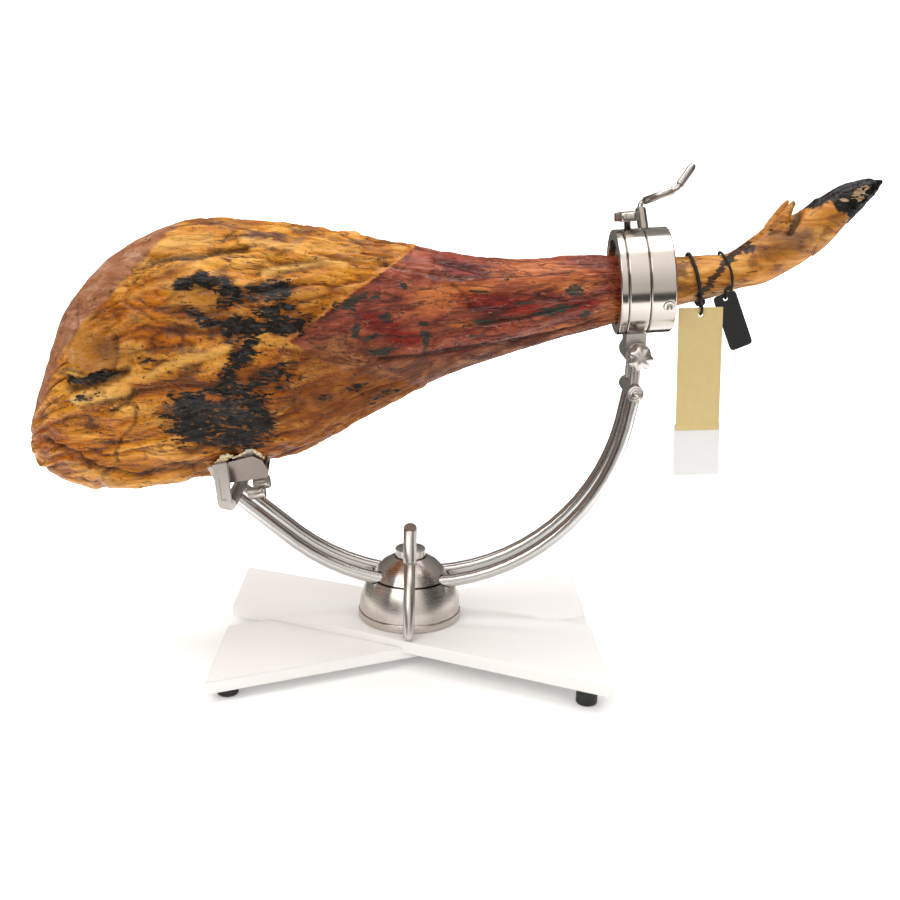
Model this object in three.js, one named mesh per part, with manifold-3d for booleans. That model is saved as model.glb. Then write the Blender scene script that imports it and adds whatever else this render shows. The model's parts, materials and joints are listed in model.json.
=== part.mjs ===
// A cured ham held in a carving stand: two crossed boards on rubber feet, a domed clamp hub,
// two bent rods that slide through the hub, a cradle under the thick end of the ham and a
// ring with a clamping crank round its shank. Millimetres, +Z up, the carving side faces -Y.
import * as THREE from 'three';
import { mergeVertices } from 'three/addons/utils/BufferGeometryUtils.js';
import Module from 'manifold-3d';

const wasm = await Module();
wasm.setup();

const GAP = 0.3;
// Cutting shapes reach this far past the faces that they cut.
const OVERCUT = 5;
const DEGREE = Math.PI / 180;

// The hub axis lies this far from the middle of the whole object's footprint.
const HUB_X = -34;
const HUB_Y = 5.25;

// Crossed boards
const BOARD_HALF_LENGTH = 178;
const UPPER_BOARD_FRONT_END = [-153.5, -24.5];
const UPPER_BOARD_BACK_END = [16, 123];
const LOWER_BOARD_FRONT_END = [-143.5, -18.5];
const LOWER_BOARD_BACK_END = [18, 143];
const BOARD_THICKNESS = 12;
const UPPER_BOARD_TOP = 29;
const LOWER_BOARD_TOP = 21.5;
const BOARD_EDGE = 0.8;
const FOOT_RADIUS = 9.8;
const FOOT_INSET_X = 16;
const FOOT_INSET_Y = 24;
const FOOT_EDGE = 1.5;
const FOOT_SIDES = 16;

// Hub
const FLANGE_RADIUS = 50.5;
const FLANGE_TOP = 36.9;
const HUB_SEAM = 70.1;
const BOWL_SPHERE = 49.5;
const BOWL_SPHERE_Z = 39;
const CAP_SPHERE = 41.4;
const CAP_SPHERE_Z = 52.8;
const CAP_TOP = 90.4;
const NUT_RECESS_RADIUS = 15.9;
const NUT_RECESS_FLOOR = 88;
const NUT_RADIUS = 14.8;
const NUT_TOP = 98.8;
const NUT_EDGE = 0.8;
const HUB_SIDES = 36;
const NUT_SIDES = 28;

// Clamp lever, a straight bar that leans out in front of the hub
const LEVER_TOP = [-38, 132.4];
const LEVER_TIP = [-67, 35.9];
const LEVER_SLEEVE_RADIUS = 6.2;
const LEVER_SLEEVE_SHARE = 0.33;
const LEVER_ROD_RADIUS = 5.4;
const LEVER_TOP_CUT = 35 * DEGREE;
const LEVER_STEM_RADIUS = 3.4;
const LEVER_STEM_Z = 94.3;
const LEVER_DOME_STEPS = 4;
const LEVER_SIDES = 16;

// Bent rods
const ARC_CENTRE_X = 8.7;
const ARC_CENTRE_Z = 265.7;
const ARC_RADIUS = 197.4;
const ARC_LEFT = 39 * DEGREE;
const ARC_RIGHT = 80 * DEGREE;
const ROD_LEFT_STRAIGHT = 66;
const ROD_RIGHT_STRAIGHT = 31.5;
const ROD_RADIUS = 6;
const ROD_SPREAD = 16;
const ROD_STEPS = 28;
const ROD_CORNERS = 10;
const ROD_CLEARANCE = 1;

// Cross barrel, link and hinge below the ring
const BARREL = [207.3, 262.6];
const BARREL_RADIUS = 7.6;
const BARREL_HALF_LENGTH = 27;
const SOCKET_RADIUS = 3.6;
const SOCKET_DEPTH = 4;
const SCREW_HEAD_RADIUS = 5.4;
const SCREW_HEAD_SUNK = 0.5;
const LINK_BAR_RADIUS = 4.7;
const LINK_BAR_SPREAD = 15;
const HINGE = [208.5, 297.5];
const HINGE_RADIUS = 11;
const HINGE_FRONT = -20;
const HINGE_BACK = 25;
const HINGE_WASHER_RADIUS = 12;
const HINGE_WASHER_THICKNESS = 2.5;
const LUG_X = 207.5;
const LUG_WIDTH = 18.5;
const LUG_DEPTH = 24;
const LUG_HEIGHT = 30;
const STAR_KNOB_RADIUS = 12;
const STAR_KNOB_THICKNESS = 9;
const STAR_KNOB_LOBES = 7;
const STAR_KNOB_LOBE_DEPTH = 3;
const STAR_KNOB_CROWN = 1.6;
const STAR_KNOB_STANDOFF = 5;
const STAR_STEM_RADIUS = 3;

// Ring round the shank; its own group leans up to the right
const RING_CENTRE_X = 211;
const RING_CENTRE_Z = 364.3;
const RING_LEAN = 4.5 * DEGREE;
const RING_RADIUS = 48.5;
const RING_BORE = 39;
const RING_CUTS = [-26, -18.5, 1, 24];
const RING_EDGE = 1;
const RING_SIDES = 32;
const SET_SCREW_RADIUS = 4.8;
const SET_SCREW_ALONG = 17;
const SET_SCREW_ANGLE = -22 * DEGREE;
const SET_SCREW_STANDOUT = 0.5;
const LOCK_KNOB_ALONG = -12.3;
const LOCK_KNOB_RADIUS = 12;
const LOCK_KNOB_LOBES = 6;
const LOCK_KNOB_LOBE_DEPTH = 3.2;
const LOCK_KNOB_THICKNESS = 8;
const LOCK_KNOB_CROWN = 0.6;
const KNOB_EDGE = 0.8;
const KNOB_SIDES_PER_LOBE = 4;
const LOCK_STEM_RADIUS = 3.1;
const LOCK_STEM_LENGTH = 7;
const CRANK_ALONG = 8.5;
const CRANK_LEAN = 40 * DEGREE;
const CRANK_TURN = 29 * DEGREE;
const CRANK_SCREW_RADIUS = 5.2;
const CRANK_SCREW_LENGTH = 31;
const CRANK_PAD_REACH = 13;
const CRANK_ROD_RADIUS = 2.6;
const CRANK_RISE = 8;
const CRANK_ARM = [5, 36];
const CRANK_ARM_RADIUS = 3.7;
const CRANK_FOOT_BEND = [1.8, 7];
const CRANK_ELBOW = 3.5;
const CRANK_WIRE_STEPS = 18;
const CRANK_GRIP_SLANT = 45 * DEGREE;
const CRANK_GRIP_START = 5;
const CRANK_GRIP_LENGTH = 24;
const CRANK_GRIP_RADIUS = 3.8;
const CRANK_GRIP_SOCKET = 3;
const CRANK_GRIP_HELD = 1.5;
const SMALL_SIDES = 12;

// Cradle under the thick end
const CRADLE_X = -153;
const CRADLE_Z = 175.5;
const CRADLE_LEAN = 8 * DEGREE;
const CRADLE_TWIST = 5 * DEGREE;
const CRADLE_SHIFT = -4;
const TRAY_HALF_FLOOR = 36;
const TRAY_WING = 42;
const TRAY_WING_SLOPE = 56 * DEGREE;
const TRAY_THICKNESS = 3;
const TRAY_LENGTH = 70;
const TRAY_OUTLINE = [
  [-168, 160], [-168, 198], [-145, 204], [-137, 199], [-132, 187], [-134.5, 160]];
const TOOTHED_THICKNESS = 2;
const TOOTHED_WING = 50;
const TOOTHED_BASE = [[-134, 160], [-176, 160], [-181, 172]];
const TOOTHED_RIM = [[-187.5, 192], [-164, 197.5], [-150, 213], [-140.5, 207], [-135.5, 195]];
const TOOTH_PITCH = 3.2;
const TOOTH_HEIGHT = 1.6;
// Cutting shapes for the cradle's plates stop this much short, so their faces never coincide.
const PLATE_SHY = 0.02;
const OUTLINE_REACH = 22.25;
const CHEEK_WIDTH = 13;
const CHEEK_HEIGHT = 44.5;
const CHEEK_THICKNESS = 4;
const CHEEK_Y = 54;
const CHEEK_AT = [-172.5, 175.5];
const CHEEK_LEAN = 6 * DEGREE;
const CHEEK_SLOT = { radius: 2.6, from: -11, to: 7, depth: 1.6 };
const AXLE_RADIUS = 6;
const AXLE_AT = [-167, 157];
const PIVOT_BOLT = {
  at: [-154.5, 157], lean: 8 * DEGREE, radius: 6, length: 11.5, head: 6.6, headLength: 4.5 };
const PIVOT_BOLT_Y = 17;

// Tags on strings round the shank
const TAG_THICKNESS = 0.8;
const TAG_CORNER = 0.6;
const BLACK_TAG_CORNER = 4;
const GOLD_TAG = { at: [261, -31], size: [40.5, 115], top: 345, lean: 2.6 * DEGREE, hole: 6.5 };
const LABEL_SIZE = [43, 50];
const LABEL_LAP = 6;
const BLACK_TAG = { at: [283, -22], size: [21.5, 53.5], top: 356.8, lean: 23 * DEGREE, hole: 5 };
const TAG_HOLE_RADIUS = 2.3;
const GOLD_LOOP = {
  x: 259, lean: -6, bulge: 0, z: 366.5, wide: 24.6, tall: 23.5, radius: 1.7,
  knot: [263, -22.4, 348.8], knotRadius: 3.9, eye: [261.4, -29.6, 343.5], eyeWide: 4.2, eyeTall: 5.2,
  strand: 1.35 };
const BLACK_LOOP = {
  x: 285.5, lean: -3.5, bulge: 4, z: 371.3, wide: 22.9, tall: 20.7, radius: 1.2,
  knot: [287.8, -20.6, 361.7], knotRadius: 2.5, eye: [284.9, -21.6, 356.6], eyeWide: 3, eyeTall: 4.6,
  strand: 1.1 };
const LOOP_STATIONS = 20;
const EYE_STATIONS = 8;
const STRING_SIDES = 6;

// Ham sections from the rump to the ankle: top x, top z, bottom x, bottom z, half depth
const HAM_SECTIONS = [
  [-353, 216, -352, 204, 14],
  [-348, 240, -346, 187, 42],
  [-338, 272, -332, 171.5, 54],
  [-317, 330, -305, 162, 65],
  [-288, 367, -281, 160, 71],
  [-252, 393.5, -250, 162.5, 74],
  [-206, 411.5, -213, 168.5, 76],
  [-155, 413, -172, 178.5, 76],
  [-105, 409, -132, 187.5, 73],
  [-58, 402, -94, 204, 67],
  [-10, 395, -54, 229.5, 62],
  [32, 387, -12, 252, 53],
  [72, 382, 30, 273, 45],
  [112, 382, 74, 289, 39],
  [150, 387, 120, 305, 34],
  [182, 386, 168, 319, 31],
  [208, 386, 206, 331.5, 26],
  [242, 387, 247, 343, 23],
  [268, 389, 274, 349, 21],
  [290, 391, 300, 359, 21],
  [308, 404, 320, 363, 21],
  [325, 418, 337, 371, 22],
  [343, 427, 356, 383, 22],
  [358, 434, 370, 394, 20],
  [367, 443, 380, 402, 16],
  [370, 440, 381, 409, 10],
];
// The flesh is pressed in on both sides where the cradle holds it.
const CRADLE_HOLLOW = { x: -158, z: 197, height: -6, wide: 30, tall: 17 };
const HAM_RINGS = 62;
const HAM_FRONT_SEGMENTS = 22;
const HAM_BACK_SEGMENTS = 9;
const HAM_BODY_SQUARENESS = 2.35;
const HAM_SHANK_SQUARENESS = 2.05;

// Lengthwise folds of the rind: angle from the top, first and last share of the length, height,
// half width in degrees
const HAM_FOLDS = [
  { angle: -22, from: 0.14, to: 0.4, height: 5, width: 7 },
  { angle: -44, from: 0.12, to: 0.37, height: -6, width: 6 },
  { angle: -60, from: 0.14, to: 0.42, height: 4.5, width: 8 },
  { angle: -80, from: 0.1, to: 0.36, height: -4, width: 6 },
  { angle: -97, from: 0.12, to: 0.48, height: 4, width: 8 },
  { angle: -118, from: 0.16, to: 0.5, height: -4.5, width: 7 },
  { angle: -138, from: 0.1, to: 0.36, height: 4, width: 8 },
  { angle: -70, from: 0.4, to: 0.64, height: -4, width: 9 },
  { angle: -100, from: 0.42, to: 0.66, height: 5, width: 12 },
  { angle: -126, from: 0.4, to: 0.66, height: -3.5, width: 9 },
  { angle: 60, from: 0.14, to: 0.5, height: 3.5, width: 12 },
  { angle: 105, from: 0.12, to: 0.46, height: -3, width: 12 },
  { angle: 145, from: 0.16, to: 0.5, height: 3, width: 12 },
];
const FOLD_WAVE = 5;
const FOLD_WAVE_TURNS = 9;

// Round lumps and hollows on the carving side: x, z, height, half width, half height
const HAM_LUMPS = [
  { x: -280, z: 302, height: 6, wide: 24, tall: 20 },
  { x: -275, z: 280, height: -5.5, wide: 28, tall: 7 },
  { x: -276, z: 263, height: 5, wide: 30, tall: 10 },
  { x: -250, z: 335, height: 5, wide: 30, tall: 20 },
  { x: -170, z: 352, height: -4, wide: 38, tall: 12 },
  { x: -140, z: 262, height: 4, wide: 45, tall: 16 },
  { x: -55, z: 356, height: -3.5, wide: 34, tall: 13 },
  { x: -310, z: 240, height: 4, wide: 22, tall: 22 },
];

// Paired dewclaws and hoof claws, each side of the middle plane
const DEWCLAW = { base: [331, 415], tip: [343.5, 440.5], radius: 7.8, side: 9 };
// A dewclaw's radius as a share of the above, at shares of the way from its base to its tip
const DEWCLAW_TAPER = [[0, 0.95], [0.5, 0.65], [0.92, 0.25]];
const CLAW_SECTIONS = [
  [354, 429, 365, 390, 8],
  [361, 434, 372, 396, 10.5],
  [370, 441, 380, 404, 11],
  [381, 449, 389, 416, 10.5],
  [393, 455, 399, 428, 9],
  [405, 458.5, 409, 440, 6.5],
  [414, 460, 416, 450, 3.5],
  [421, 460, 421, 458, 1],
];
const DEWCLAW_SIDES = 10;
const CLAW_SIDE = 9.5;
const CLAW_RINGS = 12;
const CLAW_SEGMENTS = 12;

// Materials
const paint = (color, roughness, metalness) =>
  new THREE.MeshStandardMaterial({ color, roughness, metalness });
const boardWhite = paint(0xf2f0ec, 0.25, 0);
const brushedSteel = paint(0xb9b0a6, 0.35, 1);
const polishedSteel = paint(0xc9c2ba, 0.15, 1);
const blackRubber = paint(0x111111, 0.7, 0);
const hamFlesh = paint(0xa8652a, 0.45, 0);
const goldCard = paint(0xd2b45f, 0.4, 0.4);
const whiteCard = paint(0xe6e6e4, 0.6, 0);
const blackCard = paint(0x17181a, 0.5, 0);
const blackString = paint(0x0c0c0c, 0.8, 0);

// Geometry helpers

function signedVolume(geometry) {
  const p = geometry.attributes.position;
  const index = geometry.index;
  const a = new THREE.Vector3();
  const b = new THREE.Vector3();
  const c = new THREE.Vector3();
  let volume = 0;
  for (let i = 0; i < index.count; i += 3) {
    a.fromBufferAttribute(p, index.getX(i));
    b.fromBufferAttribute(p, index.getX(i + 1));
    c.fromBufferAttribute(p, index.getX(i + 2));
    volume += a.dot(b.cross(c)) / 6;
  }
  return volume;
}

// Merges shared vertices, drops empty triangles and turns the faces outward.
function closed(source) {
  const bare = source.index ? source.toNonIndexed() : source.clone();
  bare.deleteAttribute('normal');
  bare.deleteAttribute('uv');
  const merged = mergeVertices(bare, 1e-4);
  const from = merged.index.array;
  const kept = [];
  for (let i = 0; i < from.length; i += 3) {
    const a = from[i];
    const b = from[i + 1];
    const c = from[i + 2];
    if (a !== b && b !== c && c !== a) kept.push(a, b, c);
  }
  merged.setIndex(kept);
  if (signedVolume(merged) < 0) merged.setIndex(kept.reverse());
  return merged;
}

function toSolid(geometry) {
  const g = closed(geometry);
  const vertProperties = new Float32Array(g.attributes.position.array);
  const triVerts = new Uint32Array(g.index.array);
  return new wasm.Manifold(new wasm.Mesh({ numProp: 3, vertProperties, triVerts }));
}

function fromSolid(solid) {
  const { vertProperties, triVerts, numProp } = solid.getMesh();
  const geometry = new THREE.BufferGeometry();
  const count = vertProperties.length / numProp;
  const positions = new Float32Array(count * 3);
  for (let i = 0; i < count; i += 1) {
    for (let k = 0; k < 3; k += 1) positions[3 * i + k] = vertProperties[numProp * i + k];
  }
  geometry.setAttribute('position', new THREE.BufferAttribute(positions, 3));
  geometry.setIndex(Array.from(triVerts));
  return geometry;
}

function cut(geometry, ...tools) {
  let solid = toSolid(geometry);
  for (const tool of tools) solid = solid.subtract(toSolid(tool));
  return fromSolid(solid);
}

function join(...geometries) {
  let solid = toSolid(geometries[0]);
  for (const geometry of geometries.slice(1)) solid = solid.add(toSolid(geometry));
  return fromSolid(solid);
}

function part(name, geometry, material) {
  const mesh = new THREE.Mesh(closed(geometry), material);
  mesh.name = name;
  return mesh;
}

// A turned piece about the Z axis; the profile is a list of [radius, height] pairs.
function turned(profile, sides) {
  const points = profile.map(([r, z]) => new THREE.Vector2(r, z));
  return new THREE.LatheGeometry(points, sides).rotateX(Math.PI / 2);
}

// A turned piece about a line from start along a direction.
function turnedAlong(profile, sides, start, direction) {
  const turn = new THREE.Quaternion().setFromUnitVectors(
    new THREE.Vector3(0, 0, 1), direction.clone().normalize());
  return turned(profile, sides).applyQuaternion(turn).translate(start.x, start.y, start.z);
}

function barBetween(start, end, radius, sides) {
  const along = end.clone().sub(start);
  const length = along.length();
  return turnedAlong([[0, 0], [radius, 0], [radius, length], [0, length]], sides, start, along);
}

function sphereArc(radius, centre, fromZ, toZ, steps) {
  const points = [];
  for (let i = 0; i <= steps; i += 1) {
    const z = fromZ + (toZ - fromZ) * i / steps;
    points.push([Math.sqrt(radius * radius - (z - centre) ** 2), z]);
  }
  return points;
}

function outline(points) {
  return new THREE.Shape(points.map(([x, y]) => new THREE.Vector2(x, y)));
}

// A flat plate whose outline is drawn in X and Z and whose thickness runs along +Y.
function uprightPlate(shape, thickness, curveSegments = 8) {
  const geometry = new THREE.ExtrudeGeometry(shape, {
    depth: thickness, bevelEnabled: false, curveSegments });
  return geometry.rotateX(Math.PI / 2).translate(0, thickness, 0);
}

// Base: two boards that cross, the upper one notched over the lower one

function boardOutline(frontSide, frontEnd, backEnd, grow) {
  const x = BOARD_HALF_LENGTH + grow;
  return outline([
    [frontSide * x, frontEnd[0] - grow], [frontSide * x, frontEnd[1] + grow],
    [-frontSide * x, backEnd[1] + grow], [-frontSide * x, backEnd[0] - grow],
  ]);
}

function board(frontSide, frontEnd, backEnd, top) {
  const geometry = new THREE.ExtrudeGeometry(
    boardOutline(frontSide, frontEnd, backEnd, -BOARD_EDGE), {
      depth: BOARD_THICKNESS - 2 * BOARD_EDGE, bevelEnabled: true,
      bevelThickness: BOARD_EDGE, bevelSize: BOARD_EDGE, bevelSegments: 1 });
  return geometry.translate(0, 0, top - BOARD_THICKNESS + BOARD_EDGE);
}

function buildBase(group) {
  const notch = new THREE.ExtrudeGeometry(
    boardOutline(-1, LOWER_BOARD_FRONT_END, LOWER_BOARD_BACK_END, GAP), {
      depth: LOWER_BOARD_TOP + GAP, bevelEnabled: false });
  const upper = board(1, UPPER_BOARD_FRONT_END, UPPER_BOARD_BACK_END, UPPER_BOARD_TOP);
  const lower = board(-1, LOWER_BOARD_FRONT_END, LOWER_BOARD_BACK_END, LOWER_BOARD_TOP);
  group.add(part('board_upper', cut(upper, notch), boardWhite));
  group.add(part('board_lower', lower, boardWhite));
  const footX = BOARD_HALF_LENGTH - FOOT_INSET_X;
  const frontLeftY = LOWER_BOARD_FRONT_END[0] + FOOT_INSET_Y;
  const frontRightY = UPPER_BOARD_FRONT_END[0] + FOOT_INSET_Y;
  const backLeftY = UPPER_BOARD_BACK_END[1] - FOOT_INSET_Y;
  const backRightY = LOWER_BOARD_BACK_END[1] - FOOT_INSET_Y;
  const feet = [
    ['foot_front_left', -footX, frontLeftY, LOWER_BOARD_TOP],
    ['foot_front_right', footX, frontRightY, UPPER_BOARD_TOP],
    ['foot_back_left', -footX, backLeftY, UPPER_BOARD_TOP],
    ['foot_back_right', footX, backRightY, LOWER_BOARD_TOP],
  ];
  for (const [name, x, y, boardTop] of feet) {
    const height = boardTop - BOARD_THICKNESS - GAP;
    const low = FOOT_RADIUS - FOOT_EDGE;
    const profile = [[0, 0], [low, 0], [FOOT_RADIUS, FOOT_EDGE], [FOOT_RADIUS, height], [0, height]];
    group.add(part(name, turned(profile, FOOT_SIDES).translate(x, y, 0), blackRubber));
  }
}

// Bent rods: an arc about the arc centre, with a straight stretch at each end

class RodPath extends THREE.Curve {
  constructor(y) {
    super();
    this.y = y;
  }

  getPoint(share, target = new THREE.Vector3()) {
    const arcLength = ARC_RADIUS * (ARC_LEFT + ARC_RIGHT);
    const along = share * (ROD_LEFT_STRAIGHT + arcLength + ROD_RIGHT_STRAIGHT) - ROD_LEFT_STRAIGHT;
    const onArc = Math.min(Math.max(along, 0), arcLength);
    const beyond = along - onArc;
    const angle = onArc / ARC_RADIUS - ARC_LEFT;
    const x = ARC_CENTRE_X + ARC_RADIUS * Math.sin(angle) + beyond * Math.cos(angle);
    const z = ARC_CENTRE_Z - ARC_RADIUS * Math.cos(angle) + beyond * Math.sin(angle);
    return target.set(x, this.y, z);
  }
}

function rod(y, radius) {
  const section = new THREE.Shape().absarc(0, 0, radius, 0, 2 * Math.PI);
  return new THREE.ExtrudeGeometry(section, {
    steps: ROD_STEPS, curveSegments: ROD_CORNERS / 2, extrudePath: new RodPath(y) });
}

// A bar across the stand, along Y, at a place given by [x, z].
function crossBar([x, z], radius, fromY, toY, sides = 24) {
  return barBetween(new THREE.Vector3(x, fromY, z), new THREE.Vector3(x, toY, z), radius, sides);
}

function buildRods(group) {
  const seat = crossBar(BARREL, BARREL_RADIUS + GAP, -BARREL_HALF_LENGTH, BARREL_HALF_LENGTH);
  const axleSeat = crossBar(AXLE_AT, AXLE_RADIUS + GAP, -CHEEK_Y, CHEEK_Y, SMALL_SIDES);
  group.add(part('rod_front', cut(rod(-ROD_SPREAD, ROD_RADIUS), seat, axleSeat), polishedSteel));
  group.add(part('rod_back', cut(rod(ROD_SPREAD, ROD_RADIUS), seat, axleSeat), polishedSteel));
}

// Hub: flange, bowl and cap, with two channels that the rods slide through

function buildHub(group) {
  const edge = BOARD_EDGE;
  const flangeFloor = UPPER_BOARD_TOP + GAP;
  group.add(part('hub_flange', turned([
    [0, flangeFloor], [FLANGE_RADIUS, flangeFloor], [FLANGE_RADIUS, FLANGE_TOP - edge],
    [FLANGE_RADIUS - edge, FLANGE_TOP], [0, FLANGE_TOP]], HUB_SIDES), brushedSteel));
  const channels = [-ROD_SPREAD, ROD_SPREAD].map((y) => rod(y, ROD_RADIUS + ROD_CLEARANCE));
  const bowlFloor = FLANGE_TOP + GAP;
  const bowlTop = HUB_SEAM - GAP / 2;
  const bowl = turned([[0, bowlFloor],
    ...sphereArc(BOWL_SPHERE, BOWL_SPHERE_Z, bowlFloor, bowlTop, 5), [0, bowlTop]], HUB_SIDES);
  group.add(part('hub_bowl', cut(bowl, ...channels), brushedSteel));
  const capFloor = HUB_SEAM + GAP / 2;
  const cap = turned([[0, capFloor],
    ...sphereArc(CAP_SPHERE, CAP_SPHERE_Z, capFloor, CAP_TOP, 3),
    [NUT_RECESS_RADIUS, CAP_TOP], [NUT_RECESS_RADIUS, NUT_RECESS_FLOOR],
    [0, NUT_RECESS_FLOOR]], HUB_SIDES);
  group.add(part('hub_cap', cut(cap, ...channels), brushedSteel));
}

// Nut and its lever, which turn together about the hub axis

function buildLever(group) {
  const nutFloor = NUT_RECESS_FLOOR + GAP;
  group.add(part('hub_nut', turned([
    [0, nutFloor], [NUT_RADIUS, nutFloor], [NUT_RADIUS, NUT_TOP - NUT_EDGE],
    [NUT_RADIUS - NUT_EDGE, NUT_TOP], [0, NUT_TOP]], NUT_SIDES), brushedSteel));
  const top = new THREE.Vector3(0, ...LEVER_TOP);
  const tip = new THREE.Vector3(0, ...LEVER_TIP);
  const length = top.distanceTo(tip);
  const down = tip.clone().sub(top).normalize();
  const sleeveLength = length * LEVER_SLEEVE_SHARE;
  const rise = LEVER_SLEEVE_RADIUS * Math.tan(LEVER_TOP_CUT);
  const sleeve = turnedAlong([
    [0, -rise], [LEVER_SLEEVE_RADIUS, -rise], [LEVER_SLEEVE_RADIUS, sleeveLength],
    [0, sleeveLength]], LEVER_SIDES, top, down);
  const slabWidth = 2 * (2 * rise + LEVER_SLEEVE_RADIUS + OVERCUT);
  const slab = new THREE.BoxGeometry(slabWidth, slabWidth, 4 * rise);
  slab.translate(0, 0, 2 * rise);
  const lean = Math.atan2(-down.y, -down.z);
  slab.rotateX(LEVER_TOP_CUT - lean).translate(top.x, top.y, top.z);
  const onAxis = (LEVER_STEM_Z - LEVER_TOP[1]) / (LEVER_TIP[1] - LEVER_TOP[1]);
  const stemY = LEVER_TOP[0] + onAxis * (LEVER_TIP[0] - LEVER_TOP[0]);
  const stem = barBetween(new THREE.Vector3(0, -NUT_RADIUS - GAP, LEVER_STEM_Z),
    new THREE.Vector3(0, stemY, LEVER_STEM_Z), LEVER_STEM_RADIUS, SMALL_SIDES);
  group.add(part('lever_sleeve', cut(sleeve, slab), brushedSteel));
  const rodStart = top.clone().addScaledVector(down, sleeveLength + GAP);
  const rodLength = length - sleeveLength - GAP;
  const profile = [[0, 0], [LEVER_ROD_RADIUS, 0]];
  for (let i = 0; i <= LEVER_DOME_STEPS; i += 1) {
    const angle = (i / LEVER_DOME_STEPS) * Math.PI / 2;
    profile.push([LEVER_ROD_RADIUS * Math.cos(angle), rodLength + LEVER_ROD_RADIUS * Math.sin(angle)]);
  }
  profile[profile.length - 1][0] = 0;
  const rodPiece = turnedAlong(profile, LEVER_SIDES, rodStart, down);
  group.add(part('lever_rod', join(rodPiece, stem), brushedSteel));
}

// A knob outline with rounded lobes, and the knob with a shallow crown on its outer face

function knobProfile(radius, lobes, lobeDepth) {
  const points = [];
  const count = lobes * KNOB_SIDES_PER_LOBE;
  for (let i = 0; i < count; i += 1) {
    const angle = (i / count) * 2 * Math.PI;
    const r = radius - lobeDepth * (1 - Math.cos(lobes * angle)) / 2;
    points.push([r * Math.cos(angle), r * Math.sin(angle)]);
  }
  return points;
}

function knob(radius, lobes, lobeDepth, thickness, crown) {
  const ring = knobProfile(radius, lobes, lobeDepth);
  const faceScale = 1 - KNOB_EDGE / radius;
  const levels = [
    [faceScale, 0], [1, KNOB_EDGE], [1, thickness - KNOB_EDGE], [faceScale, thickness]];
  const positions = [];
  for (const [scale, z] of levels) {
    for (const [x, y] of ring) positions.push(x * scale, y * scale, z);
  }
  const bottom = positions.length / 3;
  positions.push(0, 0, 0, 0, 0, thickness + crown);
  const index = [];
  const n = ring.length;
  for (let level = 0; level + 1 < levels.length; level += 1) {
    for (let i = 0; i < n; i += 1) {
      const a = level * n + i;
      const b = level * n + (i + 1) % n;
      index.push(a, b, b + n, a, b + n, a + n);
    }
  }
  const last = (levels.length - 1) * n;
  for (let i = 0; i < n; i += 1) {
    index.push((i + 1) % n, i, bottom);
    index.push(last + i, last + (i + 1) % n, bottom + 1);
  }
  const geometry = new THREE.BufferGeometry();
  geometry.setAttribute('position', new THREE.Float32BufferAttribute(positions, 3));
  geometry.setIndex(index);
  return geometry;
}

// Barrel, link bars and hinge between the rods and the ring

function buildLink(group) {
  const front = -BARREL_HALF_LENGTH;
  const [bx, bz] = BARREL;
  const socket = crossBar(
    BARREL, SCREW_HEAD_RADIUS + GAP, front - OVERCUT, front + SOCKET_DEPTH, SMALL_SIDES);
  const barrel = crossBar(BARREL, BARREL_RADIUS, front, BARREL_HALF_LENGTH, NUT_SIDES);
  group.add(part('barrel', cut(barrel, socket), brushedSteel));
  const head = crossBar(
    BARREL, SCREW_HEAD_RADIUS, front + SCREW_HEAD_SUNK, front + SOCKET_DEPTH - GAP, SMALL_SIDES);
  const hexagon = crossBar(BARREL, SOCKET_RADIUS, front - OVERCUT, front + SOCKET_DEPTH / 2, 6);
  group.add(part('barrel_screw', cut(head, hexagon), brushedSteel));
  const barrelSeat = crossBar(BARREL, BARREL_RADIUS + GAP, front, BARREL_HALF_LENGTH);
  const hingeSeat = crossBar(HINGE, HINGE_RADIUS + GAP, -BARREL_HALF_LENGTH, HINGE_BACK + OVERCUT);
  const bars = [['link_bar_front', -LINK_BAR_SPREAD], ['link_bar_back', LINK_BAR_SPREAD]];
  for (const [name, y] of bars) {
    const low = new THREE.Vector3(bx, y, bz);
    const high = new THREE.Vector3(HINGE[0], y, HINGE[1]);
    const bar = barBetween(low, high, LINK_BAR_RADIUS, SMALL_SIDES);
    group.add(part(name, cut(bar, barrelSeat, hingeSeat), brushedSteel));
  }
  group.add(part('hinge_barrel', crossBar(HINGE, HINGE_RADIUS, HINGE_FRONT, HINGE_BACK), brushedSteel));
  const seatRadius = RING_RADIUS + GAP;
  const ringSeat = turned(
    [[0, -seatRadius], [seatRadius, -seatRadius], [seatRadius, seatRadius], [0, seatRadius]],
    RING_SIDES).rotateY(Math.PI / 2 - RING_LEAN).translate(RING_CENTRE_X, 0, RING_CENTRE_Z);
  const lug = new THREE.BoxGeometry(LUG_WIDTH, LUG_DEPTH, LUG_HEIGHT);
  lug.translate(LUG_X, 0, HINGE[1] + LUG_HEIGHT / 2);
  group.add(part('ring_lug', cut(lug, ringSeat, hingeSeat), brushedSteel));
  const washerFront = HINGE_FRONT - GAP - HINGE_WASHER_THICKNESS;
  group.add(part('hinge_washer',
    crossBar(HINGE, HINGE_WASHER_RADIUS, washerFront, HINGE_FRONT - GAP), brushedSteel));
  const stemFront = washerFront - GAP - STAR_KNOB_STANDOFF;
  const stem = crossBar(
    HINGE, STAR_STEM_RADIUS, stemFront - KNOB_EDGE, washerFront - GAP, SMALL_SIDES);
  const star = knob(STAR_KNOB_RADIUS, STAR_KNOB_LOBES, STAR_KNOB_LOBE_DEPTH, STAR_KNOB_THICKNESS,
    STAR_KNOB_CROWN).rotateX(Math.PI / 2).translate(HINGE[0], stemFront, HINGE[1]);
  group.add(part('star_knob', join(star, stem), brushedSteel));
}

// Ring group: local X is the ring's axis, local Z points up through the lock knob

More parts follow.
